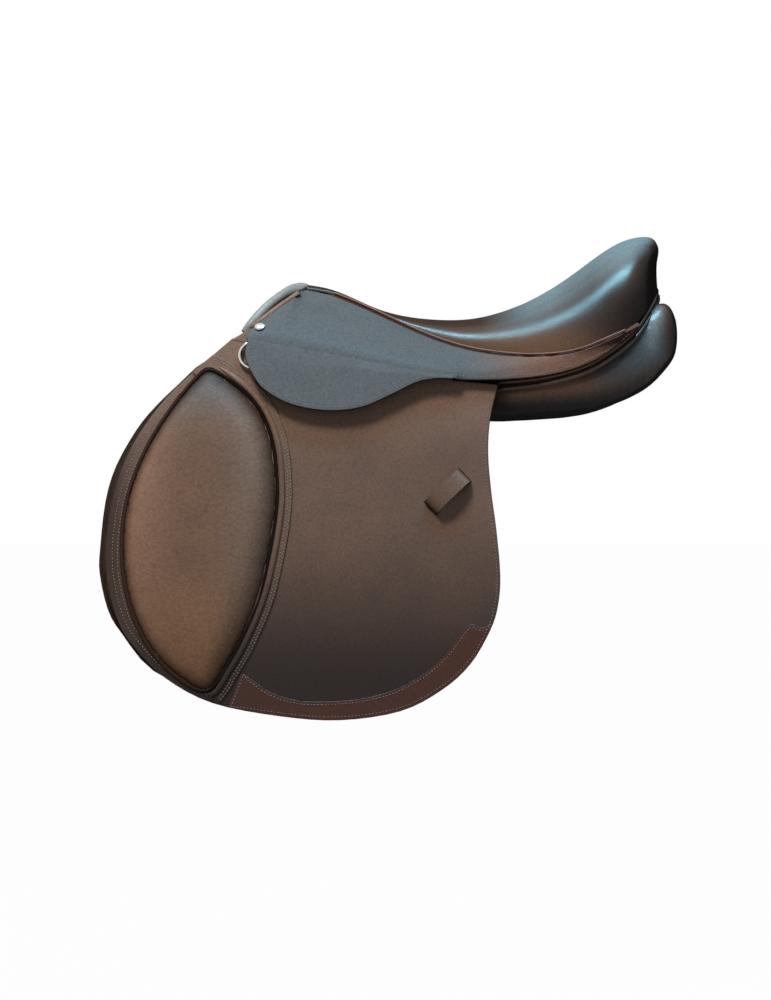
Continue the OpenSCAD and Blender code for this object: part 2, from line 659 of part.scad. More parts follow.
// Panels: a stuffed cushion each side of the channel
// Each row: place along, centre out, centre height, half width, half depth, slope in degrees
panel_shares = [
  [0, 0.64, 0.46, 0.1, 0.08, 62], [0.03, 0.64, 0.43, 0.42, 0.14, 62], [0.12, 0.65, 0.46, 0.47, 0.2, 57],
  [0.26, 0.66, 0.46, 0.4, 0.3, 45], [0.39, 0.66, 0.34, 0.345, 0.33, 32], [0.53, 0.68, 0.3, 0.345, 0.35, 22],
  [0.66, 0.8, 0.36, 0.44, 0.39, 14], [0.8, 0.86, 0.53, 0.44, 0.46, 8], [0.91, 0.76, 0.98, 0.38, 0.58, 4],
  [0.965, 0.62, 1.34, 0.34, 0.57, 0], [0.99, 0.6, 1.36, 0.22, 0.34, 0], [0.995, 0.6, 1.36, 0.07, 0.1, 0]
];
panel_fullness = 2.6;
panel_rings = 32;
panel_sides = 24;
function sign_pow(a, e) = sign(a) * abs(a) ^ e;
function panel_ring(s) =
  [for (k = [0 : panel_sides - 1]) let (
      a = 360 * k / panel_sides,
      x = s[3] * panel_w * sign_pow(cos(a), 2 / panel_fullness),
      y = s[4] * panel_d * sign_pow(sin(a), 2 / panel_fullness)
    )
    [
      s[0] * panel_l - panel_reach,
      -s[1] * panel_w - x * cos(s[5]) - y * sin(s[5]),
      s[2] * panel_d - x * sin(s[5]) + y * cos(s[5])
    ]];
module panel() {
  last = len(panel_shares) - 1;
  color(lining)
    skin([for (i = [0 : panel_rings]) panel_ring(curve_at(panel_shares, last * i / panel_rings))]);
}
module panel_left() { panel(); }
module panel_right() { off_side() panel(); }

// Flap and what is sewn on it, in the plane of the flap
flap_edge_shares = [
  [0.998, 0.877], [0.977, 0.787], [0.971, 0.697], [0.978, 0.597], [0.991, 0.492], [1, 0.375], [0.994, 0.297],
  [0.974, 0.232], [0.923, 0.144], [0.85, 0.077], [0.746, 0.023], [0.595, 0], [0.444, 0.01], [0.273, 0.044],
  [0.154, 0.108], [0.077, 0.185], [0.033, 0.253], [0.004, 0.362], [0, 0.466], [0.019, 0.597], [0.063, 0.716],
  [0.133, 0.824], [0.209, 0.904], [0.26, 0.949], [0.316, 1]
];
flap_tip_share = flap_edge_shares[len(flap_edge_shares) - 1][0];
function bend_v(u) = mix(bend_front_h, bend_rear_h, (u + bend_front) / (bend_front - bend_rear));
flap_u = -flap_reach;
flap_v = bend_v(flap_u + flap_tip_share * flap_w) - flap_h;
function flap_2d(s) = [flap_u + s[0] * flap_w, flap_v + s[1] * flap_h];
flap_edge = [for (s = flap_edge_shares) flap_2d(s)];
// Middle of the keeper on the flap, and its turn in degrees
keeper_place_shares = [0.867, 0.593];
keeper_turn = 44;
module at_keeper() { translate(flap_2d(keeper_place_shares)) rotate([0, 0, keeper_turn]) children(); }
slot_t = keeper_t + 2 * fit;
module keeper_slots() {
  for (k = [-1, 1])
    translate([k * (keeper_l - keeper_t) / 2 - slot_t / 2, -keeper_w / 2 - fit, flap_in - over])
      cube([slot_t, keeper_w + 2 * fit, flap_t + 2 * over]);
}
module flap_outline() { polygon(concat(curve(flap_edge, 4), [[-bend_rear, bend_rear_h]])); }
module flap() {
  color(leather) side() difference() {
    translate([0, 0, flap_in]) linear_extrude(flap_t) flap_outline();
    at_keeper() keeper_slots();
  }
}
module flap_left() { flap(); }
module flap_right() { off_side() flap(); }

// A keeper arches over the flap, with its ends in the slots; its corners are rounded by a share
keeper_round_share = 0.6;
keeper_steps = 18;
module keeper() {
  l = keeper_l / 2;
  function arch(r, h) = [for (i = [0 : keeper_steps]) let (a = 180 * i / keeper_steps)
    [r * sign_pow(cos(a), keeper_round_share), h * sign_pow(sin(a), keeper_round_share)]];
  under = arch(l - keeper_t, keeper_gap);
  foot = flap_t - fit;
  outer = concat([[l, -foot]], arch(l, keeper_gap + keeper_t), [[-l, -foot]]);
  back = [for (i = [keeper_steps : -1 : 0]) under[i]];
  inner = concat([[-l + keeper_t, -foot]], back, [[l - keeper_t, -foot]]);
  color(leather) side() translate([0, 0, flap_out]) at_keeper()
    translate([0, keeper_w / 2, 0]) rotate([90, 0, 0]) linear_extrude(keeper_w) polygon(concat(outer, inner));
}
module keeper_left() { keeper(); }
module keeper_right() { off_side() keeper(); }

// Knee pad: rings of one outline, drawn in as they rise to the crown
pad_edge_shares = [
  [0.555, 1], [0.692, 0.962], [0.822, 0.909], [0.92, 0.838], [0.979, 0.745], [1, 0.621], [0.988, 0.528],
  [0.945, 0.405], [0.882, 0.283], [0.775, 0.161], [0.675, 0.076], [0.561, 0], [0.388, 0.039], [0.227, 0.109],
  [0.103, 0.206], [0.023, 0.329], [0, 0.467], [0.035, 0.605], [0.147, 0.751], [0.318, 0.884], [0.465, 0.969]
];
function pad_2d(s) = [flap_u + pad_inset + s[0] * pad_w, flap_v + pad_rise + s[1] * pad_h];
function ring_at(edge, c, k, n) = [for (p = edge) let (q = mix(c, p, k)) [q.x, q.y, n]];
pad_middle_shares = [0.5, 0.48];
// Steps from the edge to the crown, the turn they cover, and how full they are inwards and upwards
pad_steps = 7;
pad_turn = 82;
pad_round_shares = [0.7, 0.9];
module knee_pad() {
  edge = loop_curve([for (s = pad_edge_shares) pad_2d(s)], 2);
  c = pad_2d(pad_middle_shares);
  color(pad_leather) side() skin(concat(
    [ring_at(edge, c, 1, flap_out)],
    [for (i = [0 : pad_steps]) let (a = pad_turn * i / pad_steps)
      ring_at(edge, c, cos(a) ^ pad_round_shares[0],
        flap_out + mix(trim_t, pad_crown, sin(a) ^ pad_round_shares[1]))]
  ));
}
module knee_pad_left() { knee_pad(); }
module knee_pad_right() { off_side() knee_pad(); }

// Edging along the pad's rear edge, a little way off its outline
edging_knots = [1.1, 13.1];
edging_steps = 36;
edging_gap = 1.2;
function beside(path, d) =
  let (last = len(path) - 1)
  [for (i = [0 : last])
    let (t = unit(path[min(i + 1, last)] - path[max(i - 1, 0)])) path[i] + d * [-t.y, t.x]];
module pad_edging() {
  n = len(pad_edge_shares);
  outline = [for (i = [n - 2 : 2 * n - 1]) pad_2d(pad_edge_shares[i % n])];
  path = [
    for (i = [0 : edging_steps]) curve_at(outline, mix(edging_knots[0], edging_knots[1], i / edging_steps))
  ];
  near = beside(path, edging_gap);
  far = beside(path, edging_gap + edging_w);
  color(leather) side() translate([0, 0, flap_out]) intersection() {
    linear_extrude(trim_t) polygon(concat(near, [for (i = [edging_steps : -1 : 0]) far[i]]));
    translate([0, 0, -over]) linear_extrude(trim_t + 2 * over) flap_outline();
  }
}
module pad_edging_left() { pad_edging(); }
module pad_edging_right() { off_side() pad_edging(); }

// Guard along the foot of the flap
guard_top_shares = [
  [0.345, 0.121], [0.378, 0.101], [0.418, 0.072], [0.493, 0.049], [0.594, 0.049], [0.669, 0.059],
  [0.746, 0.084], [0.821, 0.131], [0.872, 0.183], [0.906, 0.232], [0.928, 0.247],
  [0.952, 0.237], [0.972, 0.247]
];
// Knots of the flap's edge between which the guard lies
guard_knots = [6.8, 12.75];
guard_steps = 24;
module flap_guard() {
  top = curve([for (s = guard_top_shares) flap_2d(s)], 3);
  foot = [
    for (i = [0 : guard_steps]) curve_at(flap_edge, mix(guard_knots[0], guard_knots[1], i / guard_steps))
  ];
  color(guard_leather) side() translate([0, 0, flap_out]) linear_extrude(trim_t) polygon(concat(top, foot));
}
module flap_guard_left() { flap_guard(); }
module flap_guard_right() { off_side() flap_guard(); }

// Knee block and sweat flap: their front edge shows ahead of the flap
front_edge_shares = [
  [0.258, 0.942], [0.199, 0.888], [0.137, 0.825], [0.089, 0.763], [0.038, 0.667], [0.012, 0.573],
  [0, 0.447], [0, 0.383],
  [0.022, 0.289], [0.058, 0.227]
];
block_rear_shares = [
  [0.085, 0.2], [0.14, 0.22], [0.2, 0.32], [0.235, 0.45], [0.24, 0.58], [0.23, 0.7], [0.24, 0.8],
  [0.265, 0.88]
];
sweat_rear_shares = [
  [0.12, 0.13], [0.26, 0.072], [0.45, 0.04], [0.65, 0.05], [0.8, 0.11], [0.88, 0.22], [0.9, 0.4],
  [0.895, 0.62], [0.9, 0.79], [0.76, 0.8], [0.58, 0.8], [0.44, 0.82], [0.34, 0.87], [0.28, 0.93]
];
front_edge = [for (s = front_edge_shares) flap_2d(s) - [block_reach, 0]];
// Middle of the block, and its section: how full each level is
block_middle_shares = [0.12, 0.53];
block_level_shares = [[0.97, 0], [0.995, 0.2], [1, 0.5], [0.995, 0.8], [0.97, 1]];
module knee_block() {
  edge = loop_curve(concat(front_edge, [for (s = block_rear_shares) flap_2d(s)]), 2);
  c = flap_2d(block_middle_shares);
  low = sweat_out + fit;
  high = flap_in - fit;
  color(pad_leather) side() skin([for (s = block_level_shares) ring_at(edge, c, s[0], mix(low, high, s[1]))]);
}
module knee_block_left() { knee_block(); }
module knee_block_right() { off_side() knee_block(); }
module sweat_flap() {
  edge = loop_curve(concat(front_edge, [for (s = sweat_rear_shares) flap_2d(s)]), 3);
  color(lining) side() translate([0, 0, side_reach]) linear_extrude(sweat_t) polygon(edge);
}
module sweat_flap_left() { sweat_flap(); }
module sweat_flap_right() { off_side() sweat_flap(); }

// Billets hang from their pins below the girth web
billet_u = -80;
billet_top_v = 6;
billet_end_r = billet_w / 2;
module billet(level) {
  color(leather) side() difference() {
    translate([0, billet_top_v, level]) linear_extrude(billet_t) polygon(concat(
      [for (a = [0 : 15 : 180]) billet_end_r * [cos(a), sin(a)]],
      [[-billet_end_r, -billet_l + billet_w], [-billet_end_r / 2, -billet_l], [billet_end_r / 2, -billet_l],
        [billet_end_r, -billet_l + billet_w]]
    ));
    translate([0, billet_top_v, level - over]) cylinder(r = billet_pin_r + fit / 2, h = billet_t + 2 * over);
    for (i = [1 : punch_n])
      translate([0, billet_top_v - billet_l + billet_w / 2 + i * punch_pitch, level - over])
      cylinder(r = punch_r, h = billet_t + 2 * over);
  }
}
module billet_at(k, level) { translate([billet_u + k * billet_pitch, 0, 0]) billet(level); }
module billet_front_left() { billet_at(-1, billet_a); }
module billet_middle_left() { billet_at(0, billet_b); }
module billet_rear_left() { billet_at(1, billet_a); }
module billet_front_right() { off_side() billet_at(-1, billet_a); }
module billet_middle_right() { off_side() billet_at(0, billet_b); }
module billet_rear_right() { off_side() billet_at(1, billet_a); }
module billet_pin_row() {
  side() for (k = [-1 : 1]) translate([billet_u + k * billet_pitch, billet_top_v, sweat_out])
    cylinder(r = billet_pin_r, h = flap_in - fit - sweat_out);
}
module billet_pins() { color(nickel) { billet_pin_row(); off_side() billet_pin_row(); } }

// Girth web: from under the edge of the rail down to the pins of the billets
girth_ribs = [2.5, 5];
girth_foot = 12;
girth_reach = billet_pitch + billet_w / 2;
girth_inner_share = 0.8;
module girth_web() {
  rows = (girth_ribs[1] - girth_ribs[0]) / rib_step;
  g = [for (i = [0 : rows]) let (
      f = i / rows,
      u = mix(girth_ribs[0], girth_ribs[1], f),
      inner = base_layer(u, -girth_inner_share, frame_low + under_gap),
      outer = base_layer(u, -frame_outer_share, frame_low + under_gap),
      x = billet_u + mix(-girth_reach, girth_reach, f),
      low = side_point(x, billet_top_v - girth_foot, sweat_out),
      high = side_point(x, billet_top_v + girth_foot, sweat_out)
    ) [low, mix(low, high, 0.5), high, mix(high, outer, 0.5), outer, inner]];
  color(canvas_colour) sheet(g, offset_grid(g, -web_t));
}
module girth_web_left() { girth_web(); }
module girth_web_right() { off_side() girth_web(); }

// Dee ring and its chape on the flap, ahead of the skirt
dee_u = -218;
dee_v = 44;
dee_bar_r = dee_wire_r + fit / 2;
dee_n = flap_out + chape_t + fit + dee_bar_r;
module dee() {
  color(nickel) side() translate([dee_u, dee_v, dee_n]) {
    rotate([0, 0, 90]) rotate_extrude(angle = 180) translate([dee_r, 0]) circle(dee_wire_r);
    rotate([90, 0, 0]) cylinder(r = dee_bar_r, h = 2 * (dee_r + dee_bar_r), center = true);
  }
}
module dee_left() { dee(); }
module dee_right() { off_side() dee(); }
module dee_chape() {
  eye = dee_bar_r + fit;
  color(leather) side() translate([dee_u, dee_v, dee_n]) difference() {
    union() {
      rotate([90, 0, 0]) cylinder(r = eye + chape_t, h = chape_w, center = true);
      translate([0, -chape_w / 2, -eye - chape_t]) cube([chape_l, chape_w, chape_t]);
    }
    rotate([90, 0, 0]) cylinder(r = eye, h = chape_w + 2 * over, center = true);
  }
}
module dee_chape_left() { dee_chape(); }
module dee_chape_right() { off_side() dee_chape(); }

tree_head();
tree_frame();
head_plate();
gullet_plate();
spring_left();
spring_right();
head_rivets();
stirrup_bar_left();
stirrup_bar_right();
bar_rivets();
bar_catch_left();
bar_catch_right();
catch_pins();
seat_web();
seat_canvas();
girth_web_left();
girth_web_right();
seat_foam();
seat_cover();
seat_welt_left();
seat_welt_right();
pommel_roll();
front_facing();
pommel_binding_left();
pommel_binding_right();
cantle_binding();
panel_welt();
panel_left();
panel_right();
sweat_flap_left();
sweat_flap_right();
knee_block_left();
knee_block_right();
saddle_nails();
skirt_left();
skirt_right();
skirt_lobe_left();
skirt_lobe_right();
flap_left();
flap_right();
knee_pad_left();
knee_pad_right();
pad_edging_left();
pad_edging_right();
flap_guard_left();
flap_guard_right();
keeper_left();
keeper_right();
dee_left();
dee_right();
dee_chape_left();
dee_chape_right();
billet_front_left();
billet_middle_left();
billet_rear_left();
billet_front_right();
billet_middle_right();
billet_rear_right();
billet_pins();
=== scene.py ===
# %% [markdown]
# # A jumping saddle, dressed in leather
# The solids of the saddle come from its CAD model, in metres and in their real places: +X runs from the
# pommel to the cantle, the near side is -Y and Z is up. This lesson dresses them. Flat leathers get rounded,
# burnished edges, blocked leathers get a smooth skin, cushions are blown up as cloth, and every seam gets its thread.

import json
import math

import bmesh
import bpy
from mathutils import Matrix, Vector
from mathutils.bvhtree import BVHTree
from mathutils.kdtree import KDTree


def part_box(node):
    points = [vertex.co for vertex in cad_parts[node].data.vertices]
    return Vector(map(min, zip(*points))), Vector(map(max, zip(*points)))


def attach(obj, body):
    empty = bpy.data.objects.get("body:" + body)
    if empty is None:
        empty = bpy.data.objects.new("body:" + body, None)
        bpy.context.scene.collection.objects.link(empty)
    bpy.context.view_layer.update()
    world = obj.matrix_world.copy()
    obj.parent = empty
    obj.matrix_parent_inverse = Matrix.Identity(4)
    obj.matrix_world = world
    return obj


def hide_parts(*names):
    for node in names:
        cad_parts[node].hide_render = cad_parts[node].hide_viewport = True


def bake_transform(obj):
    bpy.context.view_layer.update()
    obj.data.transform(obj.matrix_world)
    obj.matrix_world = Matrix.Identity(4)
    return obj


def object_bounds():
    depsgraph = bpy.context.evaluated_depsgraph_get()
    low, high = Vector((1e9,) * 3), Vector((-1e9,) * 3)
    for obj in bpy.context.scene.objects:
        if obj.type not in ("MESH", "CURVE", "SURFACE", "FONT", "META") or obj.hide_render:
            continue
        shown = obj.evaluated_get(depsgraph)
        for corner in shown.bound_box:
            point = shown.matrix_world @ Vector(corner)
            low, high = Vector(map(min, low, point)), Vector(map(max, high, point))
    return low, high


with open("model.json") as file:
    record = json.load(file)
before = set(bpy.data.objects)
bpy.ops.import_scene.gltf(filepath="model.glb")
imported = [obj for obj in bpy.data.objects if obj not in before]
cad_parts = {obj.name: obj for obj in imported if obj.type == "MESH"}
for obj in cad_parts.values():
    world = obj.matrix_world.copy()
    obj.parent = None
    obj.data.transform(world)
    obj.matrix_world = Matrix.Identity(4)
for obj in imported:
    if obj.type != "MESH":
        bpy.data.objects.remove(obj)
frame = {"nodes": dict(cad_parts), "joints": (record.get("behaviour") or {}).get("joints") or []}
cad_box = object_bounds()
scene = bpy.context.scene
scene.view_settings.view_transform = "Standard"
MM = 0.001
SIDES = ("left", "right")
joints = {j["name"]: j for j in frame["joints"]}

# %% [markdown]
# The photograph is a plain side view from the near side. A long lens three metres away, level with the middle
# of the picture, gives the same slight perspective; the picture is 771 pixels wide and 1000 high.

# %% Camera
CAMERA_AWAY = 3.0
VIEW_HEIGHT = 1.1
VIEW_X, VIEW_Z = -0.0765, -0.0935
camera = bpy.data.objects.new("camera", bpy.data.cameras.new("camera"))
camera.data.sensor_fit = "VERTICAL"
camera.data.lens = camera.data.sensor_height * CAMERA_AWAY / VIEW_HEIGHT
camera.location = (VIEW_X, -CAMERA_AWAY, VIEW_Z)
camera.rotation_euler = (math.pi / 2, 0, 0)
scene.collection.objects.link(camera)
scene.camera = camera
print("lens", round(camera.data.lens, 1), "mm")

# %% [markdown]
# Materials are small node trees. One helper adds a node, sets its properties and fills its inputs with links, numbers
# or colours, and one function turns the sRGB hex value of a colour card into the linear numbers that a shader wants.


# %% Node helper
def linear(hex_colour):
    parts = [int(hex_colour[i : i + 2], 16) / 255 for i in (1, 3, 5)]
    return tuple(c / 12.92 if c <= 0.04045 else ((c + 0.055) / 1.055) ** 2.4 for c in parts) + (1.0,)


def add(tree, kind, inputs=None, **settings):
    node = tree.nodes.new(kind)
    for name, value in settings.items():
        setattr(node, name, value)
    for name, value in (inputs or {}).items():
        if isinstance(value, bpy.types.NodeSocket):
            tree.links.new(value, node.inputs[name])
        else:
            node.inputs[name].default_value = linear(value) if isinstance(value, str) else value
    return node


def new_material(name):
    material = bpy.data.materials.new(name)
    material.use_nodes = True
    tree = material.node_tree
    return material, tree, tree.nodes["Principled BSDF"]


# %% [markdown]
# Saddle leather is vegetable-tanned hide, dyed, waxed and glazed. Three things show from a metre away: a grain of
# small cells, a slow drift of the dye over the hide, and a wax film whose gloss follows both. The cells are a
# Voronoi pattern, the drift is noise, and both work on Object coordinates, so that they stay put on a piece.
# Real grain is under a millimetre; it is drawn two to three times coarser so that it shows at this size. Dye is uneven,
# too: it shifts to another colour along an axis. Some of these shifts, and every attribute of the mesh, are painted
# light
# and shade instead: an attribute says where a piece gets a painted highlight, a painted reflection or painted shade.


# %% Leather
DRIFT = 60 * MM
CLOUDY = {"From Min": 0.3, "From Max": 0.7}


def leather(name, dye, shade, grain, depth, roughness, gloss, shifts=(), tones=()):
    material, tree, shader = new_material(name)
    place = add(tree, "ShaderNodeTexCoord").outputs["Object"]
    cells = add(tree, "ShaderNodeTexVoronoi", {"Vector": place, "Scale": 1 / grain}, feature="SMOOTH_F1")
    clouds = add(tree, "ShaderNodeTexNoise", {"Vector": place, "Scale": 1 / DRIFT, "Detail": 5.0, "Roughness": 0.6})
    fine = add(tree, "ShaderNodeTexNoise", {"Vector": place, "Scale": 2.5 / grain, "Detail": 3.0})

    cloud = add(tree, "ShaderNodeMapRange", {"Value": clouds.outputs["Fac"], **CLOUDY}).outputs["Result"]
    tint = add(tree, "ShaderNodeMix", {"Factor": cloud, "A": shade, "B": dye}, data_type="RGBA").outputs["Result"]
    axes = add(tree, "ShaderNodeSeparateXYZ", {"Vector": place}).outputs
    layers = []
    for axis, start, end, colour in shifts:
        # The colour drifts to another tone along the piece: dye, or painted light or shade
        ramp = {"Value": axes[axis], "From Min": start, "From Max": end}
        share = add(tree, "ShaderNodeMapRange", ramp, interpolation_type="SMOOTHSTEP").outputs["Result"]
        layers.append((share, colour))
    wet = gloss
    for attribute, colour in tones:
        # Painted light or shade, from an attribute of the mesh; under painted shade the wax gloss goes too, so no
        # reflection shows
        share = add(tree, "ShaderNodeAttribute", attribute_name=attribute).outputs["Fac"]
        layers.append((share, colour))
        if attribute == "painted_shade":
            wet = add(tree, "ShaderNodeMapRange", {"Value": share, "To Min": gloss, "To Max": 0.0}).outputs["Result"]
    for share, colour in layers:
        tint = add(tree, "ShaderNodeMix", {"Factor": share, "A": tint, "B": colour}, data_type="RGBA").outputs["Result"]
    speck = add(tree, "ShaderNodeMapRange", {"Value": cells.outputs["Distance"], "To Min": 1.12, "To Max": 0.7})
    grained = add(
        tree,
        "ShaderNodeMix",
        {"Factor": 1.0, "A": tint, "B": speck.outputs["Result"]},
        data_type="RGBA",
        blend_type="MULTIPLY",
    )
    tree.links.new(grained.outputs["Result"], shader.inputs["Base Color"])

    waxed = {"To Min": roughness + 0.07, "To Max": roughness - 0.05}
    wax = add(tree, "ShaderNodeMapRange", {"Value": clouds.outputs["Fac"], **CLOUDY, **waxed})
    tree.links.new(wax.outputs["Result"], shader.inputs["Roughness"])
    relief = add(tree, "ShaderNodeMath", {0: cells.outputs["Distance"], 1: fine.outputs["Fac"]}, operation="ADD")
    bump = add(tree, "ShaderNodeBump", {"Height": relief.outputs["Value"], "Strength": 0.4, "Distance": depth})
    tree.links.new(bump.outputs["Normal"], shader.inputs["Normal"])
    # A dull wax loses its shine where the hide turns away from the eye
    turn = add(tree, "ShaderNodeLayerWeight", {"Blend": 0.5}).outputs["Facing"]
    fade = {"Value": turn, "From Min": 0.2, "From Max": 0.6, "To Min": wet, "To Max": 0.0}
    shine = add(tree, "ShaderNodeMapRange", fade)
    tree.links.new(shine.outputs["Result"], shader.inputs["Specular IOR Level"])
    return material


# %% [markdown]
# A saddler picks another hide for each job: calf where the rider sits, firm bridle butt for the flaps, soft calf over
# the stuffing, russet for the welts. They are one leather here, each with its own dye, grain and wax. Where a hide's
# dye shifts along X or Z, the two numbers are the places, in metres, at which the shift starts and ends.

# %% Hides
FRONT = cad_box[0][0]
# Calf, glazed and polished by sitting: nearly smooth, a soft gleam; a painted cool sky reflection on top, a painted
# warm glow low on the side near the welt, and painted shade round the cantle
seat_hide = leather(
    "glazed_calf_seat",
    "#46342b",
    "#3a2b24",
    grain=2.4 * MM,
    depth=0.2 * MM,
    roughness=0.32,
    gloss=0.28,
    shifts=[("Z", 0.1, 0.07, "#5f432f")],
    tones=[("painted_sky_sheen", "#72868d"), ("painted_shade", "#322b29")],
)
# The same calf, seldom polished: skirt, pommel roll and lobe look dull and grey with wax bloom, each in a tone of its
# own;
# the lobe's paler tone is painted light
SKIRT_GRAIN = {"grain": 2.4 * MM, "depth": 0.22 * MM, "roughness": 0.5}
skirt_hide = leather(
    "glazed_calf_skirt",
    "#5c6266",
    "#525759",
    **SKIRT_GRAIN,
    gloss=0.02,
    shifts=[("Z", 0.115, 0.075, "#585d61"), ("X", 0.0, 0.1, "#775c50"), ("X", 0.14, 0.17, "#59443a")],
    # Painted light just above the bend, where the skirt curves into shade
    tones=[("painted_bend_light", "#5b6165")],
)
pommel_hide = leather("glazed_calf_pommel", "#949291", "#868483", **SKIRT_GRAIN, gloss=0.2)
# Painted light: the lobe is the skirt's calf dyed paler, to match the curved skirt above the bend, which catches more
# light
lobe_hide = leather("glazed_calf_lobe", "#6a7075", "#61666b", **SKIRT_GRAIN, gloss=0.12)
# Bridle butt, curried with wax: firm and close-grained, with little shine; painted light on the upper part, painted
# shade at the foot and along the front edge
flap_hide = leather(
    "waxed_bridle_flap",
    "#745b4e",
    "#655044",
    grain=2.2 * MM,
    depth=0.22 * MM,
    roughness=0.48,
    gloss=0.2,
    shifts=[
        ("Z", -0.06, 0.02, "#806759"),
        ("Z", -0.1, -0.29, "#281b17"),
        ("X", FRONT + 0.045, FRONT + 0.01, "#3d2d25"),
    ],
)
# Calf with a raised grain: coarse soft cells that catch the light; painted shade, nearly black, over the roll of the
# rim, and a painted grey sheen towards the rear
pad_hide = leather(
    "grained_calf_pad",
    "#7a5c4a",
    "#694f40",
    grain=3.2 * MM,
    depth=0.5 * MM,
    roughness=0.52,
    gloss=0.2,
    shifts=[
        ("Z", -0.03, 0.03, "#685c55"),
        ("Z", -0.12, -0.24, "#846249"),
        ("X", -0.29, -0.345, "#8c6a56"),
        ("X", -0.265, -0.2, "#7e695c"),
    ],
    tones=[("painted_shade", "#1f1510")],
)
# Soft calf, drawn over wool: wide shallow cells; a painted warm highlight on the bulge, a painted cool highlight
# behind, and painted shade underneath
panel_hide = leather(
    "soft_calf_panel",
    "#59463a",
    "#4c3b31",
    grain=2.8 * MM,
    depth=0.25 * MM,
    roughness=0.34,
    gloss=0.28,
    shifts=[("Z", 0.045, 0.0, "#2a211c")],
    tones=[("lit", "#ad8369"), ("painted_sky_sheen", "#84929a"), ("painted_shade", "#3d3a3b")],
)
# Bridle butt in a redder dye: dull, even and small-grained
guard_hide = leather("waxed_bridle_guard", "#4f2f24", "#41271e", 2.2 * MM, 0.2 * MM, 0.46, gloss=0.2)
# Russet hide, shaved thin for welts: orange-brown, with hardly any grain left
tan_hide = leather("russet_welt", "#805543", "#6b4535", 2.0 * MM, 0.15 * MM, 0.5, gloss=0.2)
# Hide steeped in grease against sweat: dark, with no gloss to speak of
lining_hide = leather("sweat_flap_hide", "#38291f", "#30231b", 2.6 * MM, 0.25 * MM, 0.6, gloss=0.1)
# Painted shadow in the groove round a pad: a black line that gives back no light, paler in front
PALER_IN_FRONT = [("X", -0.25, -0.3, "#3c2b23")]
groove_painted_shadow = leather("pad_groove_painted_shadow", "#1b1310", "#150f0c", 1.5 * MM, 0.1 * MM, 0.6, gloss=0.05, shifts=PALER_IN_FRONT)
# A cut edge, dyed and rubbed with wax: dark, with a thin bright line of light
edge_dye = leather("burnished_edge", "#2f221c", "#261b17", 1.5 * MM, 0.1 * MM, 0.4, gloss=0.5)
print("leathers ready")

# %% [markdown]
# The rest of the saddle: waxed linen thread, nickel-plated brass, forged steel, a laminated beech tree, and woven
# webs and canvas. The weave is two crossed wave patterns, drawn coarser than real so that it shows; the wood is noise
# drawn out along the saddle.


# %% Thread, metal, wood and web
TWIST = 0.9 / MM
STREAKS = 0.06 / MM
TWO_THREADS = 0.16


def thread_material():
    material, tree, shader = new_material("waxed_linen_thread")
    place = add(tree, "ShaderNodeTexCoord").outputs["Object"]
    twist = add(tree, "ShaderNodeTexNoise", {"Vector": place, "Scale": TWIST, "Detail": 2.0})
    tones = {"Factor": twist.outputs["Fac"], "A": "#776659", "B": "#968576"}
    colour = add(tree, "ShaderNodeMix", tones, data_type="RGBA")
    tree.links.new(colour.outputs["Result"], shader.inputs["Base Color"])
    shader.inputs["Roughness"].default_value = 0.7
    return material


def metal(name, colour, roughness, scratch):
    material, tree, shader = new_material(name)
    place = add(tree, "ShaderNodeTexCoord").outputs["Object"]
    haze = add(tree, "ShaderNodeTexNoise", {"Vector": place, "Scale": 1 / scratch, "Detail": 4.0})
    polish = {"Value": haze.outputs["Fac"], "To Min": roughness * 0.7, "To Max": roughness * 1.4}
    gloss = add(tree, "ShaderNodeMapRange", polish)
    tree.links.new(gloss.outputs["Result"], shader.inputs["Roughness"])
    bump = add(tree, "ShaderNodeBump", {"Height": haze.outputs["Fac"], "Strength": 0.1, "Distance": 0.05 * MM})
    tree.links.new(bump.outputs["Normal"], shader.inputs["Normal"])
    shader.inputs["Base Color"].default_value = linear(colour)
    shader.inputs["Metallic"].default_value = 1.0
    return material


def beech():
    material, tree, shader = new_material("laminated_beech")
    place = add(tree, "ShaderNodeTexCoord").outputs["Object"]
    stretched = add(tree, "ShaderNodeMapping", {"Vector": place, "Scale": (1.0, 6.0, 6.0)})
    grain = add(tree, "ShaderNodeTexNoise", {"Vector": stretched.outputs["Vector"], "Scale": STREAKS, "Detail": 6.0})
    tones = {"Factor": grain.outputs["Fac"], "A": "#8f6a40", "B": "#c79c68"}
    colour = add(tree, "ShaderNodeMix", tones, data_type="RGBA")
    tree.links.new(colour.outputs["Result"], shader.inputs["Base Color"])
    shader.inputs["Roughness"].default_value = 0.45
    return material


def webbing(name, light, dark, thread):
    material, tree, shader = new_material(name)
    place = add(tree, "ShaderNodeTexCoord").outputs["Object"]
    warp = add(tree, "ShaderNodeTexWave", {"Vector": place, "Scale": TWO_THREADS / thread}, bands_direction="X")
    weft = add(tree, "ShaderNodeTexWave", {"Vector": place, "Scale": TWO_THREADS / thread}, bands_direction="Y")
    weave = add(tree, "ShaderNodeMath", {0: warp.outputs["Fac"], 1: weft.outputs["Fac"]}, operation="MULTIPLY")
    colour = add(tree, "ShaderNodeMix", {"Factor": weave.outputs["Value"], "A": dark, "B": light}, data_type="RGBA")
    tree.links.new(colour.outputs["Result"], shader.inputs["Base Color"])
    bump = add(tree, "ShaderNodeBump", {"Height": weave.outputs["Value"], "Strength": 0.4, "Distance": 0.3 * MM})
    tree.links.new(bump.outputs["Normal"], shader.inputs["Normal"])
    shader.inputs["Roughness"].default_value = 0.85
    return material


# Linen, twisted and waxed: pale, dull and faintly mottled by its twist, about one turn to the millimetre
thread = thread_material()
# Nickel on brass, polished: a warm white mirror with a slight haze from handling
nickel = metal("nickel_plate", "#cfcac0", 0.16, 4 * MM)
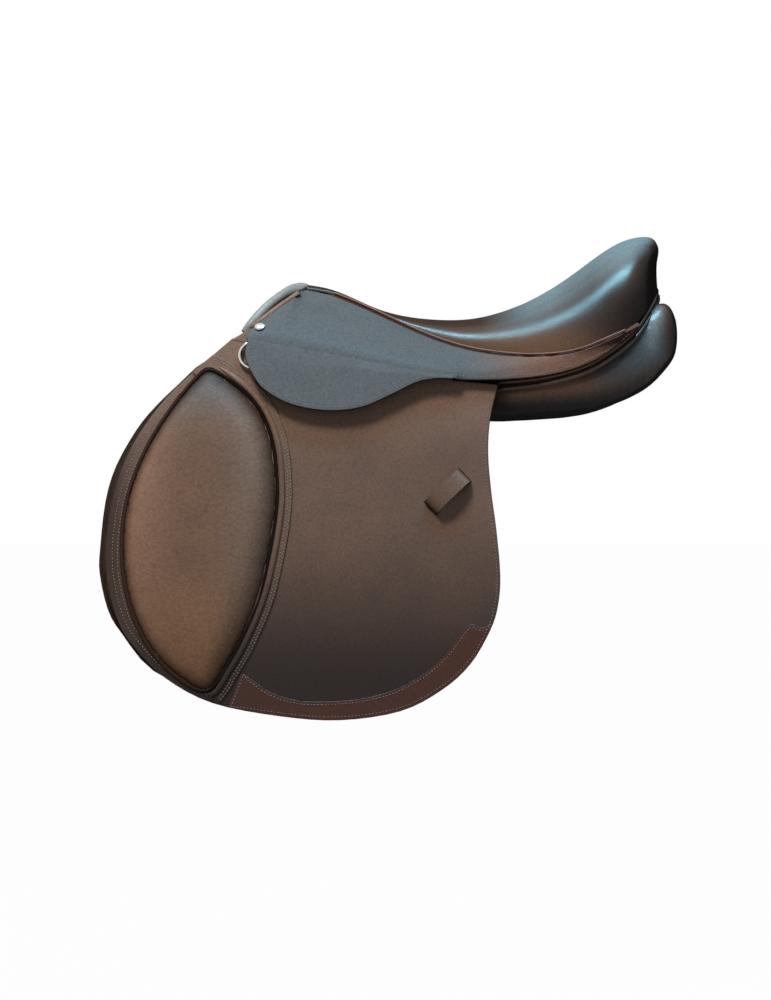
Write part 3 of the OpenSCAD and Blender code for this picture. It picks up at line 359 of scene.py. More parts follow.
# Steel as forged: grey, satin and uneven
steel = metal("forged_steel", "#8e9092", 0.38, 2 * MM)
# Beech plies, glued and planed: long streaks 17 mm apart, six times finer across
wood = beech()
# Linen canvas, woven plain: matt, with a small check of threads; a wave of scale 0.16 repeats every two of them
canvas = webbing("linen_canvas", "#cabf9f", "#a3977a", 2.2 * MM)
print("materials ready")

# %% [markdown]
# The flap, the skirt's lobe and all that is sewn on the flap lie in one leaning plane on each side. The joints give
# that plane: a billet swings about its normal, and flap and lobe lift on a line in it, the bend.

# %% Side planes and copies of the solids
OUT = Vector(joints["billet_middle_swing_left"]["axis"]).normalized()
BEND = Vector(joints["flap_lift_left"]["pos_m"])
BEND_LINE = -Vector(joints["flap_lift_left"]["axis"]).normalized()
BELOW = BEND_LINE.cross(OUT).normalized()
BELOW = BELOW if BELOW.z < 0 else -BELOW
SHARP = 1.0


def mirrored(v, side):
    return v if side == "left" else Vector((v.x, -v.y, v.z))


def merged_copy(*nodes):
    bm = bmesh.new()
    for node in nodes:
        bm.from_mesh(frame["nodes"][node].data)
    bmesh.ops.remove_doubles(bm, verts=bm.verts, dist=0.01 * MM)
    return bm


def flat_copy(node):
    bm = merged_copy(node)
    bmesh.ops.dissolve_limit(bm, angle_limit=0.01, verts=bm.verts, edges=bm.edges)
    return bm


def bevel(bm, edges, width, segments, material=-1):
    bmesh.ops.bevel(
        bm,
        geom=edges,
        offset=width,
        segments=segments,
        affect="EDGES",
        profile=0.5,
        material=material,
        clamp_overlap=True,
    )


def slice_through(bm, place, normal, **settings):
    geom = bm.verts[:] + bm.edges[:] + bm.faces[:]
    return bmesh.ops.bisect_plane(bm, geom=geom, plane_co=place, plane_no=normal, **settings)


def sharp_edges(bm):
    return [e for e in bm.edges if len(e.link_faces) == 2 and e.calc_face_angle() > SHARP]


def make_piece(name, bm, finishes, body, nodes=()):
    mesh = bpy.data.meshes.new(name)
    bm.normal_update()
    bm.to_mesh(mesh)
    bm.free()
    for polygon in mesh.polygons:
        polygon.use_smooth = True
    for finish in finishes:
        mesh.materials.append(finish)
    obj = bpy.data.objects.new(name, mesh)
    scene.collection.objects.link(obj)
    if body:
        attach(obj, body)
    if nodes:
        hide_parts(*nodes)
    return obj


def smoothstep(low, high, value):
    share = min(1.0, max(0.0, (value - low) / (high - low)))
    return share * share * (3 - 2 * share)


def set_tone(obj, attribute, share):
    layer = obj.data.attributes.new(attribute, "FLOAT", "POINT")
    for item, vertex in zip(layer.data, obj.data.vertices):
        item.value = share(vertex.co, vertex.normal)


def subdivide(obj, levels):
    modifier = obj.modifiers.new("smooth", "SUBSURF")
    modifier.levels = modifier.render_levels = levels


def weigh_normals(obj):
    obj.modifiers.new("flat_faces", "WEIGHTED_NORMAL").keep_sharp = True


print("bend line runs", [round(c, 3) for c in BEND_LINE])

# %% [markdown]
# Flaps, lobes, guards, edgings and billets are cut from flat hide with a knife, and the cut edge is rounded with an
# edge tool, dyed and rubbed smooth. So each is the flat solid with its rim bevelled, and the walls of the rim get a
# darker, glossier dye than the face. The flap is also cut across a few times just under the bend line, where the
# leather bends on the real saddle.


# %% Flat leathers
def flat_hide(node, finish, body, rim, keep_sharp=None, cuts=(), side="left"):
    bm = flat_copy(node)
    out = mirrored(OUT, side)
    if keep_sharp:
        keep_sharp(bm)
    rim_edges = [e for e in sharp_edges(bm) if abs((e.verts[1].co - e.verts[0].co).normalized().dot(out)) < 0.5]
    if keep_sharp:
        start, down = mirrored(BEND, side), mirrored(BELOW, side)
        for edge in rim_edges:
            edge.smooth = any((v.co - start).dot(down) > 0.5 * MM for v in edge.verts)
        rim_edges = [e for e in rim_edges if e.smooth]
    bevel(bm, rim_edges, rim, 3)
    for cut in cuts:
        slice_through(bm, mirrored(BEND + cut * BELOW, side), mirrored(BELOW, side))
    bm.normal_update()
    for face in bm.faces:
        face.material_index = 0 if abs(face.normal.dot(out)) > 0.9 else 1
    obj = make_piece(f"{node}_hide", bm, [finish, edge_dye], body, [node])
    weigh_normals(obj)
    return obj


FLAP_CUTS = [k * 2 * MM for k in range(1, 9)]
for side in SIDES:
    flap_body = f"flap_{side}"
    flap = flat_hide(f"flap_{side}", flap_hide, None, 1.3 * MM, cuts=FLAP_CUTS, side=side)
    top, down = mirrored(BEND, side), mirrored(BELOW, side)
    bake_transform(flap)
    flat_hide(f"pad_edging_{side}", flap_hide, flap_body, 0.6 * MM, side=side)
    flat_hide(f"flap_guard_{side}", guard_hide, flap_body, 0.5 * MM, side=side)
    flat_hide(f"sweat_flap_{side}", lining_hide, "saddle", 1.0 * MM, side=side)
    for place in ("front", "middle", "rear"):
        flat_hide(f"billet_{place}_{side}", guard_hide, f"billet_{place}_{side}_strap", 0.9 * MM, side=side)
print("flat leathers cut")

# %% [markdown]
# Above the bend the flap's leather goes on to the tree, under the skirt. That root is a small plate of the same
# thickness, given by its corners along the bend line and above it; only its front corner shows.

# %% Flap roots
ROOT_CORNERS = [(-18, -2.5), (5, 18), (40, 14), (40, -2.5)]
flap_depths = [v.co.dot(OUT) for v in frame["nodes"]["flap_left"].data.vertices]
for side in SIDES:
    bm = bmesh.new()
    start = BEND + (max(flap_depths) + 0.4 * MM - BEND.dot(OUT)) * OUT
    corners = [start + along * MM * BEND_LINE - above * MM * BELOW for along, above in ROOT_CORNERS]
    face = bm.faces.new([bm.verts.new(mirrored(co, side)) for co in corners])
    grown = bmesh.ops.extrude_face_region(bm, geom=[face])["geom"]
    sunk = mirrored((min(flap_depths) - max(flap_depths)) * OUT, side)
    bmesh.ops.translate(bm, vec=sunk, verts=[g for g in grown if isinstance(g, bmesh.types.BMVert)])
    bmesh.ops.recalc_face_normals(bm, faces=bm.faces)
    bevel(bm, bm.edges, 1.0 * MM, 3)
    weigh_normals(make_piece(f"flap_root_{side}", bm, [flap_hide], "saddle"))
print("flap roots", round((max(flap_depths) - min(flap_depths)) / MM, 1), "mm thick")

# %% [markdown]
# The skirt is one hide on the real saddle: sewn to the seat above, free below the bend line, where its round lobe lifts
# off the stirrup bar. The model moves the lobe on its own joint, so it is a piece of its own, closed up against the
# skirt along the bend, which stays sharp in both. The skirt itself is a blocked sheet: its grid of quads is found again
# from the solid's triangles, its free rims are bevelled, and a subdivision surface rounds the form.


# %% Skirts and lobes
def quad_copy(*nodes):
    bm = merged_copy(*nodes)
    bmesh.ops.join_triangles(bm, faces=bm.faces, angle_face_threshold=0.6, angle_shape_threshold=1.2)
    return bm


def on_bend(edge, side):
    start, down = mirrored(BEND, side), mirrored(BELOW, side)
    return all(abs((v.co - start).dot(down)) < 0.4 * MM for v in edge.verts)


def close_gap(side):
    def lift(bm):
        start, down = mirrored(BEND, side), mirrored(BELOW, side)
        for v in bm.verts:
            if (v.co - start).dot(down) < 1.2 * MM:
                v.co -= (v.co - start).dot(down) * down

    return lift


for side in SIDES:
    bm = quad_copy(f"skirt_{side}")
    crease = bm.edges.layers.float.new("crease_edge")
    for edge in bm.edges:
        if on_bend(edge, side):
            edge[crease] = 1.0
            edge.smooth = False
    rims = [e for e in sharp_edges(bm) if not on_bend(e, side)]
    bevel(bm, rims, 1.3 * MM, 2)
    skirt = make_piece(f"skirt_{side}_hide", bm, [skirt_hide], "saddle", [f"skirt_{side}"])
    # Painted light: a slightly paler band just above the bend, towards the front, that evens out the shade where the
    # skirt curves
    top, up = mirrored(BEND, side), -mirrored(BELOW, side)
    set_tone(
        skirt, "painted_bend_light", lambda co, n: smoothstep(16 * MM, 3 * MM, (co - top).dot(up)) * smoothstep(0.04, 0.0, co.x)
    )
    subdivide(skirt, 2)
    gap = close_gap(side)
    flat_hide(f"skirt_lobe_{side}", lobe_hide, f"lobe_{side}", 1.4 * MM, keep_sharp=gap, side=side)
print("skirts blocked")

# %% [markdown]
# The seat is calf stretched wet over foam and a sprung tree. It has no folds at all, so a subdivision surface over the
# solid's own ribs gives its skin.

# %% Seat
LIP_Z, NECK_Z = 0.181, 0.154
bm = quad_copy("seat_cover")
bevel(bm, sharp_edges(bm), 0.8 * MM, 2)
# Behind, the cantle stands out in a soft lip and draws in above the welts
for v in bm.verts:
    behind = min(1.0, max(0.0, (v.co.x - 0.185) / 0.03))
    lip = 3 * math.exp(-(((v.co.z - LIP_Z) / 0.012) ** 2)) - 3.5 * math.exp(-(((v.co.z - NECK_Z) / 0.011) ** 2))
    v.co.x += behind * behind * lip * MM
    # In front, the nose reaches in under the pommel roll
    v.co += smoothstep(-0.125, -0.163, v.co.x) * Vector((-9 * MM, 0, -1.5 * MM))
seat = make_piece("seat_hide", bm, [seat_hide], "saddle", ["seat_cover", "seat_foam"])


def seat_painted_sky_sheen(co, n):
    # Painted sky reflection: a cool highlight on what faces up, towards the cantle
    return 0.85 * smoothstep(0.02, 0.1, co.x) * smoothstep(0.5, 0.9, n.z) * smoothstep(0.75, 0.3, n.x)


def seat_painted_shade(co, n):
    # Painted shade round the foot of the cantle and on its rear-facing side, and painted darkening in front that dulls
    # the gleam on the dip and the nose
    behind = smoothstep(0.1, 0.18, co.x)
    back = smoothstep(-0.1, 0.95, n.x) * behind * smoothstep(0.2, 0.16, co.z)
    foot = behind * smoothstep(0.16, 0.115, co.z)
    front = 0.3 * smoothstep(0.07, 0.0, co.x) + 0.4 * smoothstep(-0.11, -0.14, co.x)
    return 0.85 * max(back, foot, front)


set_tone(seat, "painted_sky_sheen", seat_painted_sky_sheen)
set_tone(seat, "painted_shade", seat_painted_shade)
subdivide(seat, 2)
print("seat blocked,", len(seat.data.polygons), "faces before subdivision")

# %% [markdown]
# Under the seat's edge a strip of thin hide is sewn in with the welt, so that no light comes through the seam. It is a
# net of four points across, led along the welt's own middle line and on to the front, where the two sides meet.


# %% Seam strip
def middle_line(node, stations):
    verts = [v.co for v in frame["nodes"][node].data.vertices]
    line = []
    for x in stations:
        near = [co for co in verts if abs(co.x - x) < 6 * MM]
        line.append(sum(near, Vector()) / len(near))
    return line


def net(rows):
    bm = bmesh.new()
    lines = [[bm.verts.new(co) for co in row] for row in rows]
    for a, b in zip(lines, lines[1:]):
        for i in range(len(a) - 1):
            bm.faces.new((a[i], a[i + 1], b[i + 1], b[i]))
    return bm


STATIONS = 40
welt_low, welt_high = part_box("seat_welt_left")
stations = [welt_low.x + (k + 0.5) * (welt_high.x - welt_low.x) / STATIONS for k in range(STATIONS)]
welt_line = middle_line("seat_welt_left", stations)
nose = welt_line[0]
ahead = [Vector((nose.x - k * 9 * MM, nose.y + k * 2.5 * MM, nose.z + k * 0.4 * MM)) for k in range(5, 0, -1)]
for side in SIDES:
    rows = []
    for co in ahead + welt_line:
        room = min(8 * MM, -co.y)
        rise = MM * (1.5 + 5 * smoothstep(-0.1, -0.02, co.x) + 3.5 * smoothstep(nose.x, nose.x - 0.015, co.x))
        rows.append(
            [
                mirrored(co + Vector((0, -2.5 * MM, -4 * MM)), side),
                mirrored(co + Vector((0, 0.3 * room, -1 * MM)), side),
                mirrored(co + Vector((0, 0.6 * room, 0.5 * rise)), side),
                mirrored(co + Vector((0, room, rise)), side),
            ]
        )
    make_piece(f"seam_strip_{side}", net(rows), [guard_hide], "saddle")
print("seam strips of", len(rows), "rows")

# %% [markdown]
# Welts, rolls and bands are strips of hide folded over a cord or turned over an edge. They keep the solid's run and
# get a rounder section from a subdivision surface.

# %% Welts, rolls and bands
ROUNDED = {
    "seat_welt_left": (tan_hide, "tan_leather"),
    "seat_welt_right": (tan_hide, "tan_leather"),
    "pommel_roll": (pommel_hide, "leather"),
    "front_facing": (panel_hide, "leather"),
    "cantle_binding": (panel_hide, "leather"),
    "panel_welt": (panel_hide, "leather"),
    "seat_canvas": (canvas, "canvas"),
    "seat_web": (canvas, "canvas"),
    "girth_web_left": (canvas, "canvas"),
    "girth_web_right": (canvas, "canvas"),
}
BAND_BACK, BAND_OUT = Vector((0.63, 0, -0.77)), Vector((-0.2, -0.6, 0.75))
BAND_END, BAND_RUN = Vector((-0.172, 0, 0.134)), Vector((0.77, 0, 0.63))
BAND_SHIFT, BAND_LIFT = 2.5 * MM, 1.0 * MM
for node, (finish, slot) in ROUNDED.items():
    bm = quad_copy(node)
    rims = sharp_edges(bm)
    if rims:
        bevel(bm, rims, 0.3 * MM, 1)
    if node in ("cantle_binding", "panel_welt"):
        # Their ends are tucked in behind the cantle
        for v in bm.verts:
            v.co.x -= 2.5 * MM * smoothstep(0.19, 0.225, v.co.x)
    if node.startswith("seat_welt"):
        # The seam pulls the welt a little thinner
        bm.normal_update()
        for v in bm.verts:
            v.co -= 0.5 * MM * v.normal
    if node == "pommel_roll":
        # Its leather is drawn back to the band, over the seat's front edge
        bm.normal_update()
        for v in bm.verts:
            back = Vector((1, 0, 0)).lerp(BAND_BACK, smoothstep(0.02, 0.05, abs(v.co.y)))
            drawn = 6 * MM - 5 * MM * smoothstep(0.03, 0.05, abs(v.co.y))
            v.co += drawn * max(0.0, v.normal.dot(back)) * back
            v.co += smoothstep(0.1, 0.082, v.co.z) * Vector((4 * MM, math.copysign(4 * MM, -v.co.y), 0))
    subdivide(make_piece(f"{node}_strip", bm, [finish], "saddle", [node]), 2)
print(len(ROUNDED), "strips rounded")

# %% [markdown]
# The band behind the pommel roll is a strip too. It is drawn wider than its solid, and its edges are turned over in
# russet. The loops of keeper and dee are cut from flat strap, so they only get rounded edges, and the keeper keeps the
# crown of the strap that it was pulled over.

# %% Pommel bands and loops
for side in SIDES:
    bm = quad_copy(f"pommel_binding_{side}")
    bm.normal_update()
    start = [v.co.copy() for v in bm.verts]
    for v, co in zip(bm.verts, start):
        near = [other for other in start if abs(other.y - co.y) < 5 * MM]
        across = (co - sum(near, Vector()) / len(near)).dot(BAND_BACK)
        v.co += (0.5 * across + BAND_SHIFT * smoothstep(0.086, 0.1, co.z)) * BAND_BACK
        v.co += BAND_LIFT * mirrored(BAND_OUT, side)
    # Its upper end is cut off square where the roll turns over it
    slice_through(bm, BAND_END, BAND_RUN, clear_outer=True)
    bmesh.ops.holes_fill(bm, edges=[e for e in bm.edges if e.is_boundary])
    rims = sharp_edges(bm)
    for face in bm.faces:
        face.material_index = 0
    bevel(bm, rims, 1.1 * MM, 2, material=1)
    node = f"pommel_binding_{side}"
    subdivide(make_piece(f"{node}_strip", bm, [flap_hide, tan_hide], "saddle", [node]), 1)
    bm = flat_copy(f"keeper_{side}")
    low_end, high_end = min(bm.verts, key=lambda v: v.co.z).co, max(bm.verts, key=lambda v: v.co.z).co
    middle, run = (low_end + high_end) / 2, (high_end - low_end) / 2
    for k in range(-4, 5):
        slice_through(bm, middle + k / 5 * run, run.normalized())
    bevel(bm, sharp_edges(bm), 0.8 * MM, 2)
    # Pulled over a leather strap, the loop keeps a crown
    out = mirrored(OUT, side)
    face_out = max(v.co.dot(out) for v in bm.verts)
    for v in bm.verts:
        place = (v.co - middle).dot(run) / run.length_squared
        v.co += 2.0 * MM * (1 - place * place) * smoothstep(6 * MM, 0.0, face_out - v.co.dot(out)) * out
    weigh_normals(make_piece(f"keeper_{side}_loop", bm, [flap_hide], f"flap_{side}", [f"keeper_{side}"]))
    bm = flat_copy(f"dee_chape_{side}")
    bevel(bm, sharp_edges(bm), 0.3 * MM, 2)
    node = f"dee_chape_{side}"
    weigh_normals(make_piece(f"{node}_loop", bm, [flap_hide], f"flap_{side}", [node]))
print("bands widened, loops cut")

# %% [markdown]
# The head of the tree is covered with thin hide, and behind, a facing joins the lower welt to the panels. The cover is
# the head's own skin moved out a little; the facing is a net hung from the welt's line round the cantle.

# %% Head cover and rear facing
bm = merged_copy("tree_head")
bm.normal_update()
for v in bm.verts:
    v.co += 0.6 * MM * v.normal
make_piece("head_cover", bm, [panel_hide], "saddle")

welt_verts = [v.co for v in frame["nodes"]["panel_welt"].data.vertices if v.co.x > 0.1]
rows = []
for k in range(-20, 21):
    y = k * 5 * MM
    near = sorted(welt_verts, key=lambda co: abs(co.y - y))[:24]
    top = sum(near, Vector()) / len(near)
    inner = Vector((-0.7, -0.4 * y / 0.1, -1))
    rows.append([top + drop * inner for drop in (0.0, 8 * MM, 22 * MM)])
subdivide(make_piece("rear_facing", net(rows), [panel_hide], "saddle"), 1)
print("facing hung from", len(welt_verts), "points of the welt")

# %% [markdown]
# Knee pads, knee blocks and panels are stuffed. Each starts a little smaller than its solid, is remeshed to an even
# net, blown up as cloth for twenty frames with no gravity, and held within a few millimetres of where it started.

# %% Stuffing
CLOTH_FRAMES = 20


def remeshed(obj, voxel):
    modifier = obj.modifiers.new("net", "REMESH")
    modifier.mode = "VOXEL"
    modifier.voxel_size = voxel
    graph = bpy.context.evaluated_depsgraph_get()
    mesh = bpy.data.meshes.new_from_object(obj.evaluated_get(graph))
    obj.modifiers.remove(modifier)
    old = obj.data
    mesh.name = old.name
    obj.data = mesh
    bpy.data.meshes.remove(old)


def plump(obj, pressure, cap, pinned=None):
    start = [v.co.copy() for v in obj.data.vertices]
    cloth = obj.modifiers.new("cloth", "CLOTH")
    cloth.settings.quality = 5
    cloth.settings.mass = 0.3
    cloth.settings.use_pressure = True
    cloth.settings.uniform_pressure_force = pressure
    cloth.settings.effector_weights.gravity = 0.0
    if pinned:
        group = obj.vertex_groups.new(name="resting")
        group.add([i for i, co in enumerate(start) if pinned(co)], 1.0, "REPLACE")
        cloth.settings.vertex_group_mass = "resting"
    for number in range(1, CLOTH_FRAMES + 1):
        scene.frame_set(number)
    graph = bpy.context.evaluated_depsgraph_get()
    blown = [v.co.copy() for v in obj.evaluated_get(graph).data.vertices]
    obj.modifiers.remove(cloth)
    scene.frame_set(1)
    for vertex, a, b in zip(obj.data.vertices, start, blown):
        move = b - a
        vertex.co = a + move * min(1.0, cap / max(move.length, 1e-9))
    return max((b - a).length for a, b in zip(start, blown))


def smoothed(obj, rounds):
    bm = bmesh.new()
    bm.from_mesh(obj.data)
    for _ in range(rounds):
        bmesh.ops.smooth_vert(bm, verts=bm.verts, factor=0.5, use_axis_x=True, use_axis_y=True, use_axis_z=True)
    bm.to_mesh(obj.data)
    bm.free()


# %% [markdown]
# A knee pad is stuffed while it is a little deeper than its solid, pinned there, and then levelled off flat where it
# rests on the flap. Its rim rolls off more gently at the rear, and gets painted shade over most of that roll. A panel's
# painted light and shade follow how far a point lies in from its foot and its back, read from a table of 8 mm columns
# and rows.

# %% Rims and tones of the stuffing
SUNK = 6 * MM
CELL = 8 * MM
PAINTED_SHADE_REACH = (12 * MM, 24 * MM)
ROLL_OFF = (14 * MM, 30 * MM)


def level_off(obj, out, level):
    bm = bmesh.new()
    bm.from_mesh(obj.data)
    cut = slice_through(bm, (level + 0.1 * MM) * out, out, dist=0.1 * MM, clear_inner=True)
    base = bmesh.ops.holes_fill(bm, edges=[g for g in cut["geom_cut"] if isinstance(g, bmesh.types.BMEdge)])
    bmesh.ops.triangulate(bm, faces=base["faces"])
    bm.to_mesh(obj.data)
    bm.free()
    rim = [v.co.copy() for v in obj.data.vertices if v.co.dot(out) < level + 0.5 * MM]
    tree = KDTree(len(rim))
    for i, co in enumerate(rim):
        tree.insert(co, i)
    tree.balance()
    middle = sum(co.x for co in rim) / len(rim)

    def reach(co, near, far):
        return near + (far - near) * smoothstep(middle - 0.03, middle + 0.03, co.x)

    for v in obj.data.vertices:
        short = max(0.0, 1.0 - tree.find(v.co)[2] / reach(v.co, *ROLL_OFF))
        height = v.co.dot(out) - level
        v.co -= height * short * short * 0.75 * out
    # Painted shade, nearly black, over the roll of the rim, reaching further at the rear
    set_tone(
        obj, "painted_shade", lambda co, n: 0.9 * max(0.0, 1.0 - tree.find(co)[2] / reach(co, *PAINTED_SHADE_REACH)) ** 1.4
    )


def shade_stuffing(obj):
    # Painted shade under and behind; higher up, a painted warm highlight in front and a painted cool highlight behind
    foot, back = {}, {}
    for v in obj.data.vertices:
        for k in range(-1, 2):
            column, row = round(v.co.x / CELL) + k, round(v.co.z / CELL) + k
            foot[column] = min(foot.get(column, v.co.z), v.co.z)
            back[row] = max(back.get(row, v.co.x), v.co.x)

    def inward(co):
        return min(co.z - foot[round(co.x / CELL)], 1.6 * (back[round(co.z / CELL)] - co.x))

    def lit(co, n):
        in_front = smoothstep(0.19, 0.12, co.x) * smoothstep(0.02, 0.07, co.x)
        return 0.9 * smoothstep(8 * MM, 32 * MM, inward(co)) * in_front

    def painted_sky_sheen(co, n):
        return 0.9 * smoothstep(16 * MM, 44 * MM, inward(co)) * smoothstep(0.12, 0.19, co.x)

    set_tone(obj, "painted_shade", lambda co, n: 0.9 * smoothstep(28 * MM, 4 * MM, inward(co)))
    set_tone(obj, "lit", lit)
    set_tone(obj, "painted_sky_sheen", painted_sky_sheen)


# %% [markdown]
# Six cushions are made in the same way. They differ in hide, voxel, how far they start inside their solid, pressure,
# how far a point may move, and how tightly they are filled.


# %% Cushions
def cushion(node, finish, body, voxel, shrink, pressure, cap, rest=None, rise=lambda co: 0.0):
    bm = merged_copy(node)
    bm.normal_update()
    pinned = (lambda co: co.dot(rest[0]) < rest[1] + 2.5 * MM) if rest else None
    for v in bm.verts:
        if rest and v.co.dot(rest[0]) < rest[1] + 0.6 * MM:
            v.co -= SUNK * rest[0]
        else:
            v.co -= v.normal * shrink
        v.co.z += rise(v.co)
    obj = make_piece(f"{node}_cushion", bm, [finish], None)
    remeshed(obj, voxel)
    smoothed(obj, 6)
    swell = plump(obj, pressure, cap, pinned)
    smoothed(obj, 6 if rest else 3)
    print(node, "swells", round(swell / MM, 1), "mm")
    if rest:
        level_off(obj, *rest)
    else:
        shade_stuffing(obj)
    for polygon in obj.data.polygons:
        polygon.use_smooth = True
    obj.data.materials.clear()
    obj.data.materials.append(finish)
    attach(obj, body)
    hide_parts(node)
    subdivide(obj, 1)


def to_the_welt(co):
    # Behind, the panel is stuffed up against the welts
    return 19 * MM * smoothstep(0.15, 0.205, co.x) * smoothstep(0.243, 0.202, co.x) * smoothstep(0.045, 0.1, co.z)


pad_back = min(v.co.dot(OUT) for v in frame["nodes"]["knee_pad_left"].data.vertices)
for side in SIDES:
    rest = (mirrored(OUT, side), pad_back)
    cushion(f"knee_pad_{side}", pad_hide, f"flap_{side}", 4 * MM, 0.0, 4.0, 2 * MM, rest)
    cushion(f"knee_block_{side}", lining_hide, "saddle", 4 * MM, 0.8 * MM, 2.0, 0.8 * MM)
    cushion(f"panel_{side}", panel_hide, "saddle", 5 * MM, 0.8 * MM, 4.0, 2 * MM, rise=to_the_welt)
print("cushions filled")

# %% [markdown]
# A saddler's rows of stitches follow the rims of the pieces themselves, a few millimetres inside the edge. So the rim
# of a piece's outer face is walked, moved inwards over the face, and cut to the run that is sewn.


# %% Rims of faces
def rim_loops(bm, is_face):
    inside = {f for f in bm.faces if is_face(f)}
    rim = {}
    for edge in bm.edges:
        faces = [f for f in edge.link_faces if f in inside]
        if len(faces) == 1 and len(edge.link_faces) == 2:
            loop = next(l for l in faces[0].loops if l.edge == edge)
            rim[loop.vert] = (loop.link_loop_next.vert, faces[0].normal)
    loops = []
    while rim:
        vert = next(iter(rim))
        loop = []
        while vert in rim:
            following, normal = rim.pop(vert)
            loop.append((vert.co.copy(), normal.copy()))
            vert = following
        loops.append(loop)
    return sorted(loops, key=len, reverse=True)


def inset(loop, distance):
    n = len(loop)
    row = []
    for i, (co, normal) in enumerate(loop):
        along = (loop[(i + 1) % n][0] - loop[i - 1][0]).normalized()
        row.append((co + distance * normal.cross(along), normal))
    return row


def run_of(row, wanted):
    return run_where(row, [wanted(co) for co, _ in row])


def run_where(row, flags):
    if all(flags):
        return row + row[:1]
    n = len(row)
    first = next(i for i in range(n) if not flags[i])
    runs, run = [], []
    for k in range(1, n + 1):
        i = (first + k) % n
        if flags[i]:
            run.append(row[i])
        elif run:
            runs.append(run)
            run = []
    return max(runs, key=len)


def face_rim(node):
    bm = flat_copy(node)
    bm.normal_update()
    loops = rim_loops(bm, lambda f: f.normal.dot(OUT) > 0.9)
    bm.free()
    return loops[0]


def edge_run(loop, distance, toward):
    row = inset(loop, distance)
    return run_where(row, [(b[0] - a[0]).dot(toward) > 0.3 * distance for a, b in zip(loop, row)])


def below_bend(co, depth):
    return (co - BEND).dot(BELOW) > depth


# %% [markdown]
# The thread is waxed linen, eight or so stitches to the inch. Each stitch is a small flattened ball on the leather;
# they are a little longer and thicker than real ones, so that they show. Where two leathers meet in a roll or a groove,
# a half-round bead is led along the run, thinner at its ends; the near-black bead in the pad's groove is a painted
# shadow.

# %% Stitches and beads
STITCH_PITCH = 3.6 * MM
STITCH_LENGTH = 2.5 * MM
STITCH_WIDTH = 0.85 * MM
STITCH_LIFT = 0.1 * MM


def spaced(row, pitch):
    places, carried = [], 0.0
    for (a, normal), (b, _) in zip(row, row[1:]):
        length = (b - a).length
        if length < 1e-7:
            continue
        while carried < length:
            places.append((a.lerp(b, carried / length), (b - a) / length, normal))
            carried += pitch
        carried -= length
    return places


def sew(name, rows, body):
    for side in SIDES:
        bm = bmesh.new()
        count = 0
        for row in rows:
            for co, along, normal in spaced(row, STITCH_PITCH):
                across = normal.cross(along).normalized()
                turn = Matrix((along, across, normal)).transposed().to_4x4()
                size = Matrix.Diagonal((STITCH_LENGTH / 2, STITCH_WIDTH / 2, STITCH_WIDTH / 2, 1))
                place = Matrix.Translation(co + STITCH_LIFT * normal) @ turn @ size
                bmesh.ops.create_icosphere(bm, subdivisions=1, radius=1.0, matrix=place)
                count += 1
        if side == "right":
            bmesh.ops.scale(bm, vec=(1, -1, 1), verts=bm.verts)
            bmesh.ops.reverse_faces(bm, faces=bm.faces)
        make_piece(f"{name}_{side}", bm, [thread], body.format(side))
    print(name, count, "stitches a side")


def bead(name, row, width, height, finish, body):
    for side in SIDES:
        rings = []
        count = len(row)
        for i, (co, normal) in enumerate(row):
            along = (row[min(i + 1, count - 1)][0] - row[max(i - 1, 0)][0]).normalized()
            across = normal.cross(along)
            end = min(1.0, 0.35 + min(i, count - 1 - i) / 3)
            ring = []
            for k in range(9):
                angle = math.pi * k / 8
                offset = across * math.cos(angle) * width / 2 + normal * math.sin(angle) * height
                ring.append(mirrored(co + end * offset, side))
            rings.append(ring)
        bm = net(rings)
        bmesh.ops.recalc_face_normals(bm, faces=bm.faces)
        if sum(f.normal.dot(mirrored(OUT, side)) for f in bm.faces) < 0:
            bmesh.ops.reverse_faces(bm, faces=bm.faces)
        subdivide(make_piece(f"{name}_{side}", bm, [finish], body.format(side)), 1)
    print(name, count, "points long")


# %% [markdown]
# On the flap, one row runs down the rear edge and two round the front edge, further in, where the knee pad's border is
# sewn down. The guard covers the foot and has its own row all round, and so has the edging beside the pad.

# %% Rows on the flap
flap_rim = face_rim("flap_left")
guard_low, guard_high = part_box("flap_guard_left")
rear_row = run_of(
    inset(flap_rim, 3.5 * MM),
    lambda co: co.x > guard_high.x - 0.04 and co.z > guard_high.z and below_bend(co, 6 * MM),
)
front_rows = [
    run_of(inset(flap_rim, distance), lambda co: co.x < guard_low.x - 0.002 and below_bend(co, 18 * MM))
    for distance in (7 * MM, 12.5 * MM)
]
sew("flap_rows", [rear_row] + front_rows, "flap_{}")
guard_rim = face_rim("flap_guard_left")
edging_rim = face_rim("pad_edging_left")
sew("guard_rows", [run_of(inset(guard_rim, 3.2 * MM), lambda co: True)], "flap_{}")
bm = flat_copy("knee_pad_left")
bm.normal_update()
pad_outline = [(co, OUT) for co, _ in rim_loops(bm, lambda f: f.normal.dot(OUT) < -0.9)[0]]
bm.free()
# Painted shadow: a near-black bead in the groove round the pad
bead("pad_groove", pad_outline + pad_outline[:1], 4.4 * MM, 1.8 * MM, groove_painted_shadow, "flap_{}")
AWAY_FROM_PAD = Vector((1, 0, 0))
bead("edging_bead", edge_run(edging_rim, 3.6 * MM, AWAY_FROM_PAD), 6.4 * MM, 2.6 * MM, flap_hide, "flap_{}")
sew("edging_rows", [edge_run(edging_rim, d, -AWAY_FROM_PAD) for d in (1.8 * MM, 4.6 * MM)], "flap_{}")

# %% [markdown]
# The lobe is sewn a few millimetres inside its round edge. The row goes on along the lower rim of the skirt's narrow
# rear strip; that rim is found by dropping level rays on the solid from the near side. The pommel's band has a row
# along each of its long edges.

